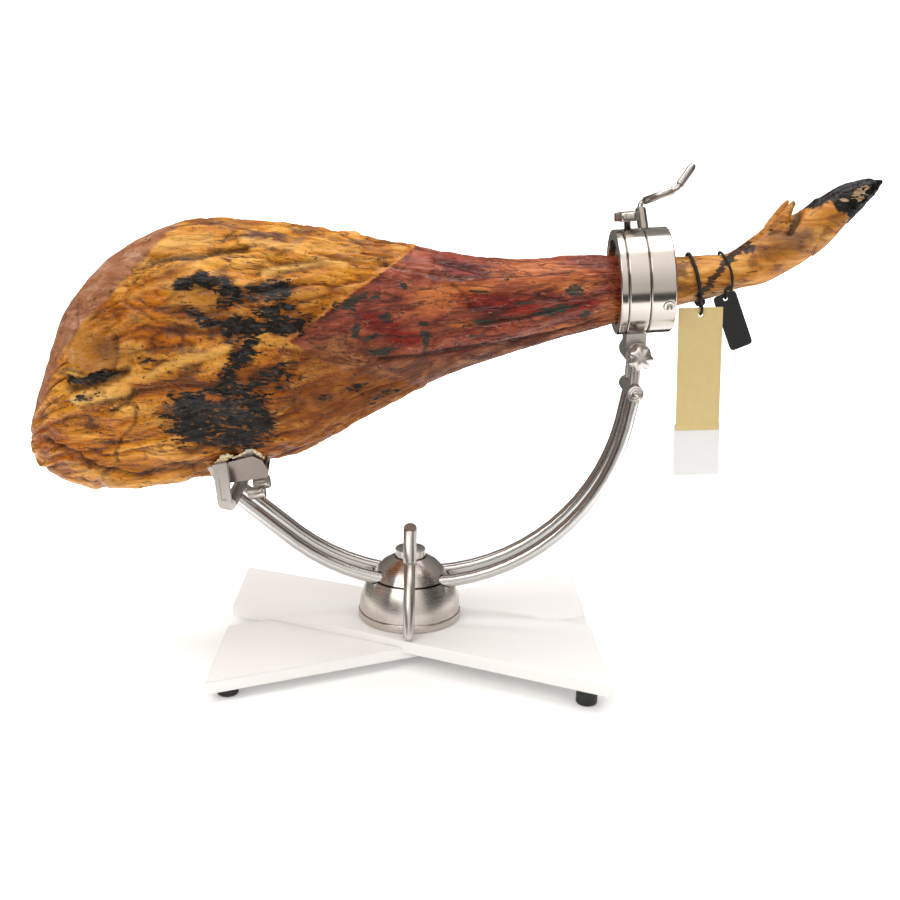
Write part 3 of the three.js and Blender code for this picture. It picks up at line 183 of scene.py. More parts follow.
def steel(name, color, roughness, anisotropy=0.0, axis="Z", grain=(60, 60, 60), bump=0.02,
          seam=None):
    """Brushed or polished steel with a fine grain, and painted shade along a seam at one height."""
    material, nodes, links, shader = new_material(name)
    coords = nodes.new("ShaderNodeTexCoord")
    mapping = nodes.new("ShaderNodeMapping")
    mapping.inputs["Scale"].default_value = grain
    links.new(coords.outputs["Object"], mapping.inputs["Vector"])
    fine = nodes.new("ShaderNodeTexNoise")
    fine.inputs["Scale"].default_value = 14.0
    fine.inputs["Detail"].default_value = 6.0
    links.new(mapping.outputs["Vector"], fine.inputs["Vector"])
    broad = nodes.new("ShaderNodeTexNoise")
    broad.inputs["Scale"].default_value = 18.0
    broad.inputs["Detail"].default_value = 3.0
    links.new(coords.outputs["Object"], broad.inputs["Vector"])
    tone = nodes.new("ShaderNodeValToRGB")
    tone.color_ramp.elements[0].position = 0.3
    tone.color_ramp.elements[0].color = (*[c * 0.9 for c in color], 1)
    tone.color_ramp.elements[1].position = 0.7
    tone.color_ramp.elements[1].color = (*color, 1)
    links.new(broad.outputs["Fac"], tone.inputs["Fac"])
    links.new(tone.outputs["Color"], shader.inputs["Base Color"])
    # Painted shade: the colour turns dark near the seam's height
    if seam is not None:
        axes = nodes.new("ShaderNodeSeparateXYZ")
        links.new(coords.outputs["Object"], axes.inputs["Vector"])
        apart = nodes.new("ShaderNodeMath")
        apart.operation = "SUBTRACT"
        apart.inputs[1].default_value = seam
        links.new(axes.outputs["Z"], apart.inputs[0])
        away = nodes.new("ShaderNodeMath")
        away.operation = "ABSOLUTE"
        links.new(apart.outputs["Value"], away.inputs[0])
        unshaded = nodes.new("ShaderNodeMapRange")
        unshaded.interpolation_type = "SMOOTHSTEP"
        unshaded.inputs["From Min"].default_value = SEAM_HALF * MM
        unshaded.inputs["From Max"].default_value = 2 * SEAM_HALF * MM
        links.new(away.outputs["Value"], unshaded.inputs["Value"])
        shade_mix = nodes.new("ShaderNodeMix")
        shade_mix.data_type = "RGBA"
        colors = [socket for socket in shade_mix.inputs if socket.type == "RGBA"]
        colors[0].default_value = (*SEAM_SHADE, 1)
        links.new(unshaded.outputs["Result"], shade_mix.inputs["Factor"])
        links.new(tone.outputs["Color"], colors[1])
        result = [socket for socket in shade_mix.outputs if socket.type == "RGBA"][0]
        links.new(result, shader.inputs["Base Color"])
    rough = nodes.new("ShaderNodeMapRange")
    rough.inputs["To Min"].default_value = roughness * 0.75
    rough.inputs["To Max"].default_value = roughness * 1.25
    links.new(fine.outputs["Fac"], rough.inputs["Value"])
    links.new(rough.outputs["Result"], shader.inputs["Roughness"])
    shader.inputs["Metallic"].default_value = 1.0
    if anisotropy:
        tangent = nodes.new("ShaderNodeTangent")
        tangent.direction_type = "RADIAL"
        tangent.axis = axis
        links.new(tangent.outputs["Tangent"], shader.inputs["Tangent"])
        shader.inputs["Anisotropic"].default_value = anisotropy
        shader.inputs["Anisotropic Rotation"].default_value = 0.25
    relief = nodes.new("ShaderNodeBump")
    relief.inputs["Strength"].default_value = bump
    relief.inputs["Distance"].default_value = 0.0005
    links.new(fine.outputs["Fac"], relief.inputs["Height"])
    links.new(relief.outputs["Normal"], shader.inputs["Normal"])
    return material


def plain(name, color, roughness, mottle=0.04, scale=40.0, bump=0.05):
    """A coated, rubber or card surface with a little unevenness."""
    material, nodes, links, shader = new_material(name)
    coords = nodes.new("ShaderNodeTexCoord")
    texture = nodes.new("ShaderNodeTexNoise")
    texture.inputs["Scale"].default_value = scale
    texture.inputs["Detail"].default_value = 8.0
    links.new(coords.outputs["Object"], texture.inputs["Vector"])
    tone = nodes.new("ShaderNodeValToRGB")
    tone.color_ramp.elements[0].position = 0.3
    tone.color_ramp.elements[0].color = (*[c * (1 - mottle) for c in color], 1)
    tone.color_ramp.elements[1].position = 0.7
    tone.color_ramp.elements[1].color = (*color, 1)
    links.new(texture.outputs["Fac"], tone.inputs["Fac"])
    links.new(tone.outputs["Color"], shader.inputs["Base Color"])
    rough = nodes.new("ShaderNodeMapRange")
    rough.inputs["To Min"].default_value = max(0.02, roughness - 0.08)
    rough.inputs["To Max"].default_value = roughness + 0.08
    links.new(texture.outputs["Fac"], rough.inputs["Value"])
    links.new(rough.outputs["Result"], shader.inputs["Roughness"])
    relief = nodes.new("ShaderNodeBump")
    relief.inputs["Strength"].default_value = bump
    relief.inputs["Distance"].default_value = 0.0005
    links.new(texture.outputs["Fac"], relief.inputs["Height"])
    links.new(relief.outputs["Normal"], shader.inputs["Normal"])
    return material


STEEL = (0.64, 0.585, 0.535)
# Height where the hub's cap meets its bowl, where the seam gets painted shade
HUB_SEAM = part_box("hub_cap")[0].z
hub_steel = steel("hub_steel", STEEL, 0.26, 0.75, "Z", (6, 6, 90), seam=HUB_SEAM)
ring_steel = steel("ring_steel", (0.6, 0.55, 0.505), 0.18, 0.3, "X", (90, 6, 6))
rod_steel = steel("rod_steel", (0.6, 0.585, 0.57), 0.22, bump=0.005)
part_steel = steel("part_steel", (0.62, 0.58, 0.54), 0.3, bump=0.01)
# The crank screw's steel, darkened with painted shade
shaded_screw_steel = steel("shaded_screw_steel", (0.22, 0.19, 0.16), 0.3)
crank_steel = steel("crank_steel", (0.5, 0.47, 0.44), 0.3, bump=0.02)
tray_steel = steel("tray_steel", (0.4, 0.36, 0.33), 0.22, bump=0.01)
board_white = plain("board_white", (0.92, 0.905, 0.89), 0.42, 0.012, 500, 0.01)
foot_rubber = plain("foot_rubber", (0.012, 0.012, 0.012), 0.55, 0.3, 300, 0.2)
gold_card = plain("gold_card", (0.66, 0.51, 0.23), 0.5, 0.06, 120, 0.04)
white_card = plain("white_card", (0.80, 0.80, 0.80), 0.5, 0.03, 200, 0.04)
black_card = plain("black_card", (0.008, 0.008, 0.009), 0.35, 0.3, 150, 0.05)
black_string = plain("black_string", (0.008, 0.008, 0.008), 0.7, 0.4, 900, 0.6)


# Dressing the CAD nodes

BODY_OF = {n: b for b, nodes in record["behaviour"]["bodies"].items() for n in nodes}
# Facets that differ by less than this many degrees become one face before edges are rounded
FLATNESS = 0.5


def welded_copy(node, name, flatness=0.0):
    """A copy of a CAD node's mesh with its corners joined and, if asked, its flat faces whole."""
    mesh = frame["nodes"][node].data.copy()
    mesh.materials.clear()
    shell = bmesh.new()
    shell.from_mesh(mesh)
    bmesh.ops.remove_doubles(shell, verts=shell.verts, dist=SAME_CORNER)
    if flatness:
        bmesh.ops.dissolve_limit(shell, angle_limit=math.radians(flatness), verts=shell.verts,
                                 edges=shell.edges)
    shell.to_mesh(mesh)
    shell.free()
    made = bpy.data.objects.new(name, mesh)
    bpy.context.scene.collection.objects.link(made)
    return made


def keep(made, node):
    """Puts a finished piece in place of its CAD node."""
    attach(made, BODY_OF[node])
    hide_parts(node)
    return made


def dress(node, material, edge=0.35, angle=30):
    """A stand-in for a CAD node with fine rounded edges, or, where edge is 0, crisp ones."""
    made = welded_copy(node, node + "_dressed", FLATNESS if edge else 0.0)
    made.data.materials.append(material)
    for polygon in made.data.polygons:
        polygon.use_smooth = True
    if edge:
        bevel = made.modifiers.new("edges", "BEVEL")
        bevel.width = edge * MM
        bevel.segments = 2
        bevel.limit_method = "ANGLE"
        bevel.angle_limit = math.radians(angle)
        weighted = made.modifiers.new("normals", "WEIGHTED_NORMAL")
        weighted.keep_sharp = True
        weighted.weight = 90
        evaluated = made.evaluated_get(bpy.context.evaluated_depsgraph_get())
        mesh = bpy.data.meshes.new_from_object(evaluated)
        made.modifiers.clear()
        made.data = mesh
    else:
        made.data.set_sharp_from_angle(angle=math.radians(angle))
    return keep(made, node)


for node in ("hub_flange", "hub_bowl", "hub_cap"):
    dress(node, hub_steel, 0.8)
for node in ("ring_flange", "ring_collar", "ring_rear"):
    dress(node, ring_steel, 0.45)
for node in ("rod_front", "rod_back"):
    dress(node, rod_steel, 0.2, 50)
for node in ("crank_arm", "crank_grip"):
    dress(node, crank_steel, 0, 35)
# The crank screw gets the steel that is darkened with painted shade
dress("crank_screw", shaded_screw_steel, 0, 35)
for node in (
    "hub_nut", "lever_sleeve", "lever_rod", "barrel", "barrel_screw", "hinge_barrel",
    "hinge_washer", "star_knob", "lock_knob", "ring_lug", "ring_set_screw", "cradle_axle",
    "cradle_bolt_front", "cradle_bolt_back",
):
    dress(node, part_steel, 0, 35)
for node in ("link_bar_front", "link_bar_back", "cradle_cheek_front", "cradle_cheek_back",
             "cradle_toothed_plate"):
    dress(node, part_steel, 0.3, 35)
dress("cradle_tray", tray_steel, 0.3, 35)
for node in ("board_upper", "board_lower"):
    dress(node, board_white, 0.6, 35)
for node in ("foot_front_left", "foot_front_right", "foot_back_left", "foot_back_right"):
    dress(node, foot_rubber, 0.4)
for node, material in (("tag_gold", gold_card), ("tag_label", white_card),
                       ("tag_black", black_card)):
    dress(node, material, 0.05, 60)
for node in ("string_gold_tag", "string_black_tag"):
    dress(node, black_string, 0, 70)


# Ham

HAM_SUBDIVISIONS = 3

# Where things lie on the carving side of the ham, as (x, z) in millimetres
RIND_LINE = [(-345, 220), (-323, 269), (-307, 299), (-282, 330), (-252, 362), (-228, 388), (-205, 412)]
MEAT_LINE = [(-2, 392), (-36, 369), (-61, 351), (-98, 325), (-109, 314), (-98, 309), (-71, 294),
             (-30, 280), (20, 262), (60, 262)]
BROWN_LINE = [(-120, 300), (-108, 312), (-90, 320), (-60, 320), (-20, 300), (20, 300), (60, 306),
              (130, 317), (190, 336)]
# Each crease: its points, half width and depth, and how much painted shade darkens it
CREASES = [
    ([(-228, 377), (-209, 381), (-185, 383), (-170, 388), (-145, 391)], 2.2, 3.0, 0.9),
    ([(-131, 381), (-106, 379), (-74, 382), (-40, 384)], 1.6, 1.6, 0.5),
    ([(-168, 396), (-165, 402), (-158, 405)], 1.2, 1.4, 0.8),
    ([(-176, 385), (-165, 389), (-138, 394)], 1.6, 1.2, 0.8),
    ([(-300, 268), (-285, 273), (-269, 278), (-249, 286)], 4.2, 5.0, 1.0),
    ([(-244, 268), (-212, 273), (-184, 275), (-150, 280)], 1.6, 1.8, 0.7),
    ([(-243, 267), (-252, 258), (-264, 250)], 2.0, 2.0, 0.8),
    ([(-242, 256), (-245, 240), (-258, 225), (-266, 211), (-265, 198)], 1.6, 2.2, 0.7),
    ([(-330, 218), (-303, 208), (-285, 193), (-248, 184), (-212, 189), (-190, 192)], 2.0, 2.6, 0.8),
    ([(-225, 340), (-205, 344), (-180, 340), (-150, 338)], 1.6, 1.6, 0.6),
    ([(-232, 325), (-200, 322), (-160, 318)], 1.6, 1.6, 0.6),
    ([(-246, 302), (-225, 306), (-190, 310)], 1.8, 1.6, 0.55),
    ([(-250, 345), (-235, 338), (-222, 330)], 1.5, 1.4, 0.6),
    ([(-300, 340), (-292, 322), (-300, 305)], 1.6, 1.2, 0.5),
    ([(-258, 318), (-256, 300), (-262, 286), (-284, 279), (-304, 286)], 1.8, 2.4, 0.6),
    ([(-31, 380), (10, 372), (44, 366)], 1.6, 1.2, 0.4),
    ([(20, 383), (42, 378), (62, 372)], 2.4, 2.4, 0.6),
    ([(-29, 297), (7, 299), (61, 307), (98, 311), (130, 317), (169, 330)], 2.2, 3.0, 0.9),
    ([(46, 327), (96, 333), (128, 341), (158, 348)], 2.2, 2.2, 0.8),
    ([(36, 362), (45, 354), (53, 342)], 1.6, 1.6, 0.5),
    ([(-40, 318), (10, 318), (46, 327)], 1.6, 1.4, 0.5),
    ([(110, 352), (135, 349), (165, 354)], 2.0, 1.4, 0.6),
]
# Each raised band: its points, half width, height, and how pale it is
BANDS = [
    ([(-295, 260), (-274, 265), (-252, 270)], 6.5, 3.0, 1.0),
    ([(-248, 280), (-229, 281), (-222, 287), (-200, 297), (-180, 301), (-159, 308)], 5.5, 2.6, 0.65),
    ([(-130, 371), (-106, 377), (-82, 381), (-60, 378)], 4.5, 2.4, 0.7),
    ([(-228, 390), (-205, 396), (-180, 396)], 8.0, 3.0, 0.7),
    ([(-245, 350), (-228, 358), (-208, 362), (-190, 372)], 5.0, 2.0, 0.5),
    ([(-250, 330), (-215, 332), (-180, 326)], 5.0, 1.8, 0.35),
    ([(-150, 398), (-100, 393), (-50, 391)], 5.0, 1.6, 0.6),
    ([(-300, 282), (-284, 276), (-268, 285)], 5.0, 2.0, 0.75),
    ([(-258, 240), (-235, 222), (-215, 210)], 14.0, 2.6, 0.25),
    ([(-310, 196), (-285, 182), (-250, 173), (-215, 178)], 8.0, 2.0, 0.45),
    ([(43, 360), (52, 348)], 3.0, 1.4, 0.5),
    ([(60, 372), (110, 371), (170, 368)], 11.0, 1.6, 0.0),
]
# Each patch of mould: its centre, half width, half height, turn and strength
MOULD = [
    ((-196, 362), 12, 5.5, 0.2, 1.0), ((-176, 366), 15, 6.5, -0.1, 1.1),
    ((-157, 357), 13, 7, -0.75, 1.1), ((-163, 346), 9, 7, 0.0, 0.9), ((-188, 337), 13, 4.5, -0.2, 1.0),
    ((-124, 359), 23, 7, 0.05, 1.3), ((-122, 343), 21, 14, 0.0, 1.0), ((-115, 329), 22, 9, 0.1, 1.3),
    ((-150, 326), 19, 9, 0.0, 1.2), ((-176, 330), 16, 5, -0.1, 0.9),
    ((-148, 304), 9, 17, -0.7, 1.0), ((-160, 284), 8, 13, -0.5, 0.85), ((-118, 282), 20, 13, 0.0, 0.62),
    ((-192, 252), 26, 16, 0.1, 1.3), ((-188, 236), 28, 18, 0.0, 1.2), ((-150, 244), 26, 24, 0.2, 1.25),
    ((-160, 222), 30, 14, 0.1, 0.95), ((-168, 268), 26, 10, 0.1, 0.75), ((-140, 262), 18, 14, 0.0, 0.8),
    ((-226, 296), 16, 5, 0.1, 0.55), ((-276, 281), 19, 4.0, 0.25, 1.2), ((-292, 275), 10, 4, 0.0, 1.1),
    ((-288, 262), 10, 2.6, 0.2, 0.75), ((-198, 380), 12, 3, 0.1, 0.5), ((-27, 261), 12, 4, 0.3, 0.7),
    ((-50, 272), 10, 5, 0.2, 0.6), ((-80, 262), 9, 8, 0.0, 0.6),
]
MOULD_GAPS = [
    ((-124, 347), 14, 2.6, 0.05), ((-112, 339), 9, 2.4, -0.3), ((-154, 248), 4, 3, 0.0),
    ((-150, 236), 3.5, 9, 0.4), ((-172, 325), 8, 1.6, 0.2), ((-176, 262), 9, 3, 0.3),
    ((-205, 350), 10, 3, 0.4), ((-134, 318), 5, 2, 0.2),
]
GREEN_MARKS = [
    ((-52, 350), 14, 4.5, 0.4), ((-33, 352), 6, 3, 0.2), ((-25, 334), 6, 5, 0.0),
    ((-50, 324), 3.5, 7, 0.0), ((-36, 318), 10, 2.2, 0.5), ((-26, 304), 12, 4, 0.1),
    ((10, 329), 5, 2.4, 0.0), ((12, 315), 4.5, 9, 0.0), ((62, 331), 11, 1.8, 0.05),
    ((56, 318), 4, 2.6, 0.0), ((66, 318), 4, 3, 0.0), ((58, 357), 16, 1.6, 0.0),
    ((142, 357), 14, 2.2, -0.1), ((147, 359), 7, 4, 0.0), ((156, 337), 3.4, 4, 0.0),
    ((128, 341), 22, 3.6, 0.2), ((-8, 362), 3, 3, 0.0), ((100, 347), 12, 1.4, 0.1),
]
LOBE = ((-281, 301), 25, 22)
LOBE_SHADE = ((-266, 306), 13, 9)
RED_ZONES = [((42, 377), 24, 7, -0.3), ((80, 346), 46, 11, -0.12), ((-32, 330), 26, 10, -0.4),
             ((-8, 316), 22, 7, 0.0), ((150, 346), 24, 6, 0.1)]
TAN_ZONES = [((48, 356), 34, 12, 0.2), ((120, 370), 62, 14, -0.05), ((20, 350), 30, 14, 0.2),
             ((178, 338), 20, 14, 0.4),
             ((45, 330), 26, 5, 0.1), ((-50, 262), 34, 8, 0.3), ((150, 326), 30, 4, 0.2)]
GOLD_ZONES = [((-300, 272), 30, 16, 0.3), ((-140, 396), 110, 14, 0.0),
              ((-60, 378), 60, 14, -0.2), ((-205, 392), 26, 12, 0.1),
              ((-196, 300), 50, 14, 0.25), ((-240, 222), 26, 24, 0.0), ((-275, 190), 50, 12, -0.1),
              ((-282, 300), 26, 22, 0.0), ((-285, 225), 26, 14, 0.2), ((-160, 380), 60, 12, 0.0)]
DIM_ZONES = [((-120, 275), 60, 30, 0.0), ((-60, 265), 60, 22, 0.35), ((-214, 310), 18, 12, 0.0),
             ((-322, 210), 16, 26, 0.5), ((-120, 225), 34, 14, 0.5), ((-215, 345), 22, 12, 0.0),
             ((-262, 330), 16, 10, 0.4)]
ORANGE_ZONES = [((-235, 330), 26, 20, 0.4), ((-222, 352), 16, 12, 0.0), ((-258, 232), 40, 16, -0.2),
                ((-186, 316), 50, 6, 0.2), ((-300, 205), 30, 18, 0.3), ((-128, 300), 14, 10, 0.0)]
STRIP = [(306, 398), (290, 391), (281, 382), (273, 370), (262, 354)]
SLIT = [(350, 431), (346, 424), (339, 412)]
MAUVE_PATCH = ((345, 408), 20, 9)
HOOF_LINE = [(340, 440), (357, 431), (364, 435), (374, 441), (379, 438), (386, 433), (394, 424)]
HOOF_TAN = [((388, 444), 5, 3, 0.3), ((398, 450), 9, 4, 0.3), ((406, 455), 8, 3, 0.3),
            ((402, 446), 6, 4, 0.3)]


def ham_shell():
    """The CAD ham, joined and subdivided, as a mesh object."""
    made = welded_copy("ham", "ham_dressed")
    finer = made.modifiers.new("finer", "SUBSURF")
    finer.levels = HAM_SUBDIVISIONS
    finer.render_levels = HAM_SUBDIVISIONS
    evaluated = made.evaluated_get(bpy.context.evaluated_depsgraph_get())
    mesh = bpy.data.meshes.new_from_object(evaluated)
    made.modifiers.clear()
    made.data = mesh
    for polygon in mesh.polygons:
        polygon.use_smooth = True
    return made


def vertex_arrays(mesh):
    """Places and normals of a mesh's corners, each as rows of x, y and z."""
    count = len(mesh.vertices)
    at, normal = np.zeros(count * 3), np.zeros(count * 3)
    mesh.vertices.foreach_get("co", at)
    mesh.vertex_normals.foreach_get("vector", normal)
    return at.reshape(-1, 3), normal.reshape(-1, 3)


def strongest(x, z, zones):
    """The strongest of several soft patches at each (x, z)."""
    total = np.zeros(len(x))
    for zone in zones:
        total = np.maximum(total, patch(x, z, *zone[:4]) * (zone[4] if len(zone) > 4 else 1))
    return total


def side_of(x, z, line):
    """How far each (x, z) lies to the right of a line from top to bottom, in millimetres."""
    best = np.full(len(x), 1e9)
    side = np.ones(len(x))
    for (x0, z0), (x1, z1) in zip(line, line[1:]):
        dx, dz = x1 - x0, z1 - z0
        t = np.clip(((x - x0) * dx + (z - z0) * dz) / (dx * dx + dz * dz), 0, 1)
        distance = np.hypot(x - x0 - t * dx, z - z0 - t * dz)
        closer = distance < best
        best = np.where(closer, distance, best)
        side = np.where(closer, np.sign(dx * (z - z0) - dz * (x - x0)), side)
    return best * side


def middle_height(x, z):
    """The height of the ham's middle at each x, from its own top and bottom."""
    edges = np.linspace(x.min(), x.max(), 60)
    which = np.digitize(x, edges[1:-1])
    middles = [(z[which == k].min() + z[which == k].max()) / 2 for k in range(len(edges) - 1)]
    return np.interp(x, (edges[1:] + edges[:-1]) / 2, middles)


def ham_masks(at, normal):
    """Where fat, rind, meat, mould, shank and hoof lie, and the relief in millimetres."""
    p = (at - np.array(HUB)) / MM
    x, y, z = p.T
    middle = middle_height(x, z)
    under = 34 * smooth(10, -40, z - middle)
    front = smooth(14 + under, -6 + under, y)
    wobble_x = 4.5 * fractal(p / 34, 3, 5) + 1.4 * noise(p / 6.5, 7)
    wobble_z = 3.2 * fractal(p / 30, 3, 9) + 1.2 * noise(p / 6.0, 8)
    fx, fz = x + wobble_x, z + wobble_z
    tatter = 3.0 * noise(p / 5.5, 90) + 1.6 * noise(p / 2.4, 91)

    # Zones
    shank = smooth(190, 214, x + 0.5 * wobble_x)
    hoof = smooth(-0.8, 0.8, side_of(x + 0.6 * wobble_x + tatter, z + tatter, HOOF_LINE))
    hoof *= x > 340
    meat_side = side_of(x + 0.6 * wobble_x + 0.4 * tatter, z + 0.6 * wobble_z, MEAT_LINE)
    meat = smooth(-1.2, 1.2, meat_side)
    meat = mix(smooth(30, 90, x + 2 * wobble_x), meat * smooth(-125, -108, x), front)
    meat *= 1 - shank
    brown = smooth(12, -14, side_of(fx, fz, BROWN_LINE)) * smooth(-130, -70, x) * (1 - shank)
    rind = smooth(-9, 10, side_of(fx, fz, RIND_LINE)) * smooth(0, -80, x)
    rind = mix(smooth(60, -20, x + 6 * wobble_x), rind, front)
    fat = (1 - meat) * (1 - 0.75 * rind) * (1 - shank)

    # Long folds that run along the ham, with rounded crests and sharp valleys
    turn = np.arctan2(z - middle, -y)
    flow = np.stack([x / 62, 6.0 * np.cos(turn), 6.0 * np.sin(turn)], 1)
    flow += 0.5 * np.stack([noise(p / 45, 50), noise(p / 45, 51), noise(p / 45, 52)], 1)
    long_folds = np.abs(noise(flow, 60))
    side_folds = np.abs(noise(flow * np.array([1.9, 2.1, 2.1]), 61))
    wrinkles = np.abs(noise(flow * np.array([4.5, 4.2, 4.2]), 62))
    lumps = fractal(p / 19, 3, 63)
    pits = smooth(0.5, 0.75, noise(p / 4.0, 64)) * smooth(0.0, 0.4, noise(p / 30, 65))
    folds = np.clip(long_folds + 0.7 * side_folds + 0.5 * wrinkles, 0, 1.4)
    height = fat * (4.0 * (folds - 0.55) + 1.0 * lumps)
    height += meat * (1.3 * (0.6 * side_folds + 0.7 * wrinkles - 0.35) + 0.7 * lumps)
    height += rind * (1 - meat) * (0.7 * lumps + 0.35 * wrinkles)
    height += shank * 0.5 * lumps - 0.5 * pits * fat

    # Creases and bands
    crease_shade = np.zeros(len(x))
    pale = np.zeros(len(x))
    lx, lz = x + 0.35 * wobble_x, z + 0.35 * wobble_z
    # Each crease is carved, and its darkness is kept as painted shade
    for points, width, depth, darkness in CREASES:
        near = stroke(lx, lz, points, width) * front
        height -= depth * near
        crease_shade = np.maximum(crease_shade, darkness * near)
    for points, width, rise, paleness in BANDS:
        near = stroke(lx, lz, points, width) * front
        height += rise * near
        pale = np.maximum(pale, paleness * near)
    lobe_at, lobe_wide, lobe_tall = LOBE
    height += 3.0 * patch(x, z, lobe_at, lobe_wide, lobe_tall) * front
    height -= 1.2 * smooth(0, 6, meat_side) * front * smooth(40, -40, x)

    # Mould and marks
    ragged = fractal(p / np.array([13, 13, 7]), 5, 12, 0.65)
    mould = strongest(fx, fz, MOULD) - 0.8 * strongest(fx, fz, MOULD_GAPS)
    mould = np.clip(np.minimum(mould, 0.82) + 0.5 * ragged, 0, 1.3) * front
    green = strongest(lx, lz, GREEN_MARKS)
    green = np.clip(np.minimum(green, 0.75) + 0.5 * ragged, 0, 1) * front
    height += 0.6 * smooth(0.45, 0.7, mould) * (noise(p / 3.2, 4) - 0.4)

    # Shank and hoof
    strip = stroke(fx, fz, STRIP, 4.4) * front * shank
    slit = stroke(x, z, SLIT, 3.0) * front
    height += 1.2 * strip * ragged - 3.5 * slit
    height = height * (1 - hoof)
    height += hoof * (0.7 + 0.8 * fractal(p / 9, 3, 6) + 0.4 * noise(p / 2.5, 66))
    scuffs = strongest(fx, fz, HOOF_TAN)

    tone = 0.5 + 0.22 * fractal(p / 55, 3, 70)
    tone += 0.42 * strongest(x, z, GOLD_ZONES) * front - 0.5 * strongest(x, z, DIM_ZONES) * front
    masks = {
        "meat": meat, "brown": brown, "rind": rind, "shank": shank, "hoof": hoof, "mould": mould,
        "green": green, "crease_shade": np.clip(crease_shade + 1.2 * slit, 0, 1), "pale": pale,
        "edge": stroke(lx, lz, MEAT_LINE[:5], 1.6) * front, "folds": np.clip(folds / 1.3, 0, 1),
        # Painted shade at the bottoms of the folds
        "valley_shade": np.clip(0.85 * smooth(0.11, 0.0, long_folds) + 0.6 * smooth(0.09, 0.0, side_folds)
                           + 0.4 * smooth(0.1, 0.0, wrinkles) * front, 0, 1),
        "tone": np.clip(tone, 0, 1), "lobe": patch(x, z, *LOBE) * front,
        "shade": patch(fx, fz, *LOBE_SHADE) * front, "strip": strip, "scuffs": scuffs,
        "red": strongest(fx, fz, RED_ZONES) * front, "tan": strongest(fx, fz, TAN_ZONES) * front,
        "mauve": patch(fx, fz, *MAUVE_PATCH) * front,
        "orange": strongest(fx, fz, ORANGE_ZONES) * front,
    }
    return masks, height


def attribute(mesh, name, values):
    made = mesh.attributes.new(name, "FLOAT", "POINT")
    made.data.foreach_set("value", np.asarray(values, dtype=np.float32))


def rgb(red, green, blue):
    """A colour as a screen shows it, 0 to 255, as linear light."""
    return tuple(((c / 255 + 0.055) / 1.055) ** 2.4 for c in (red, green, blue))


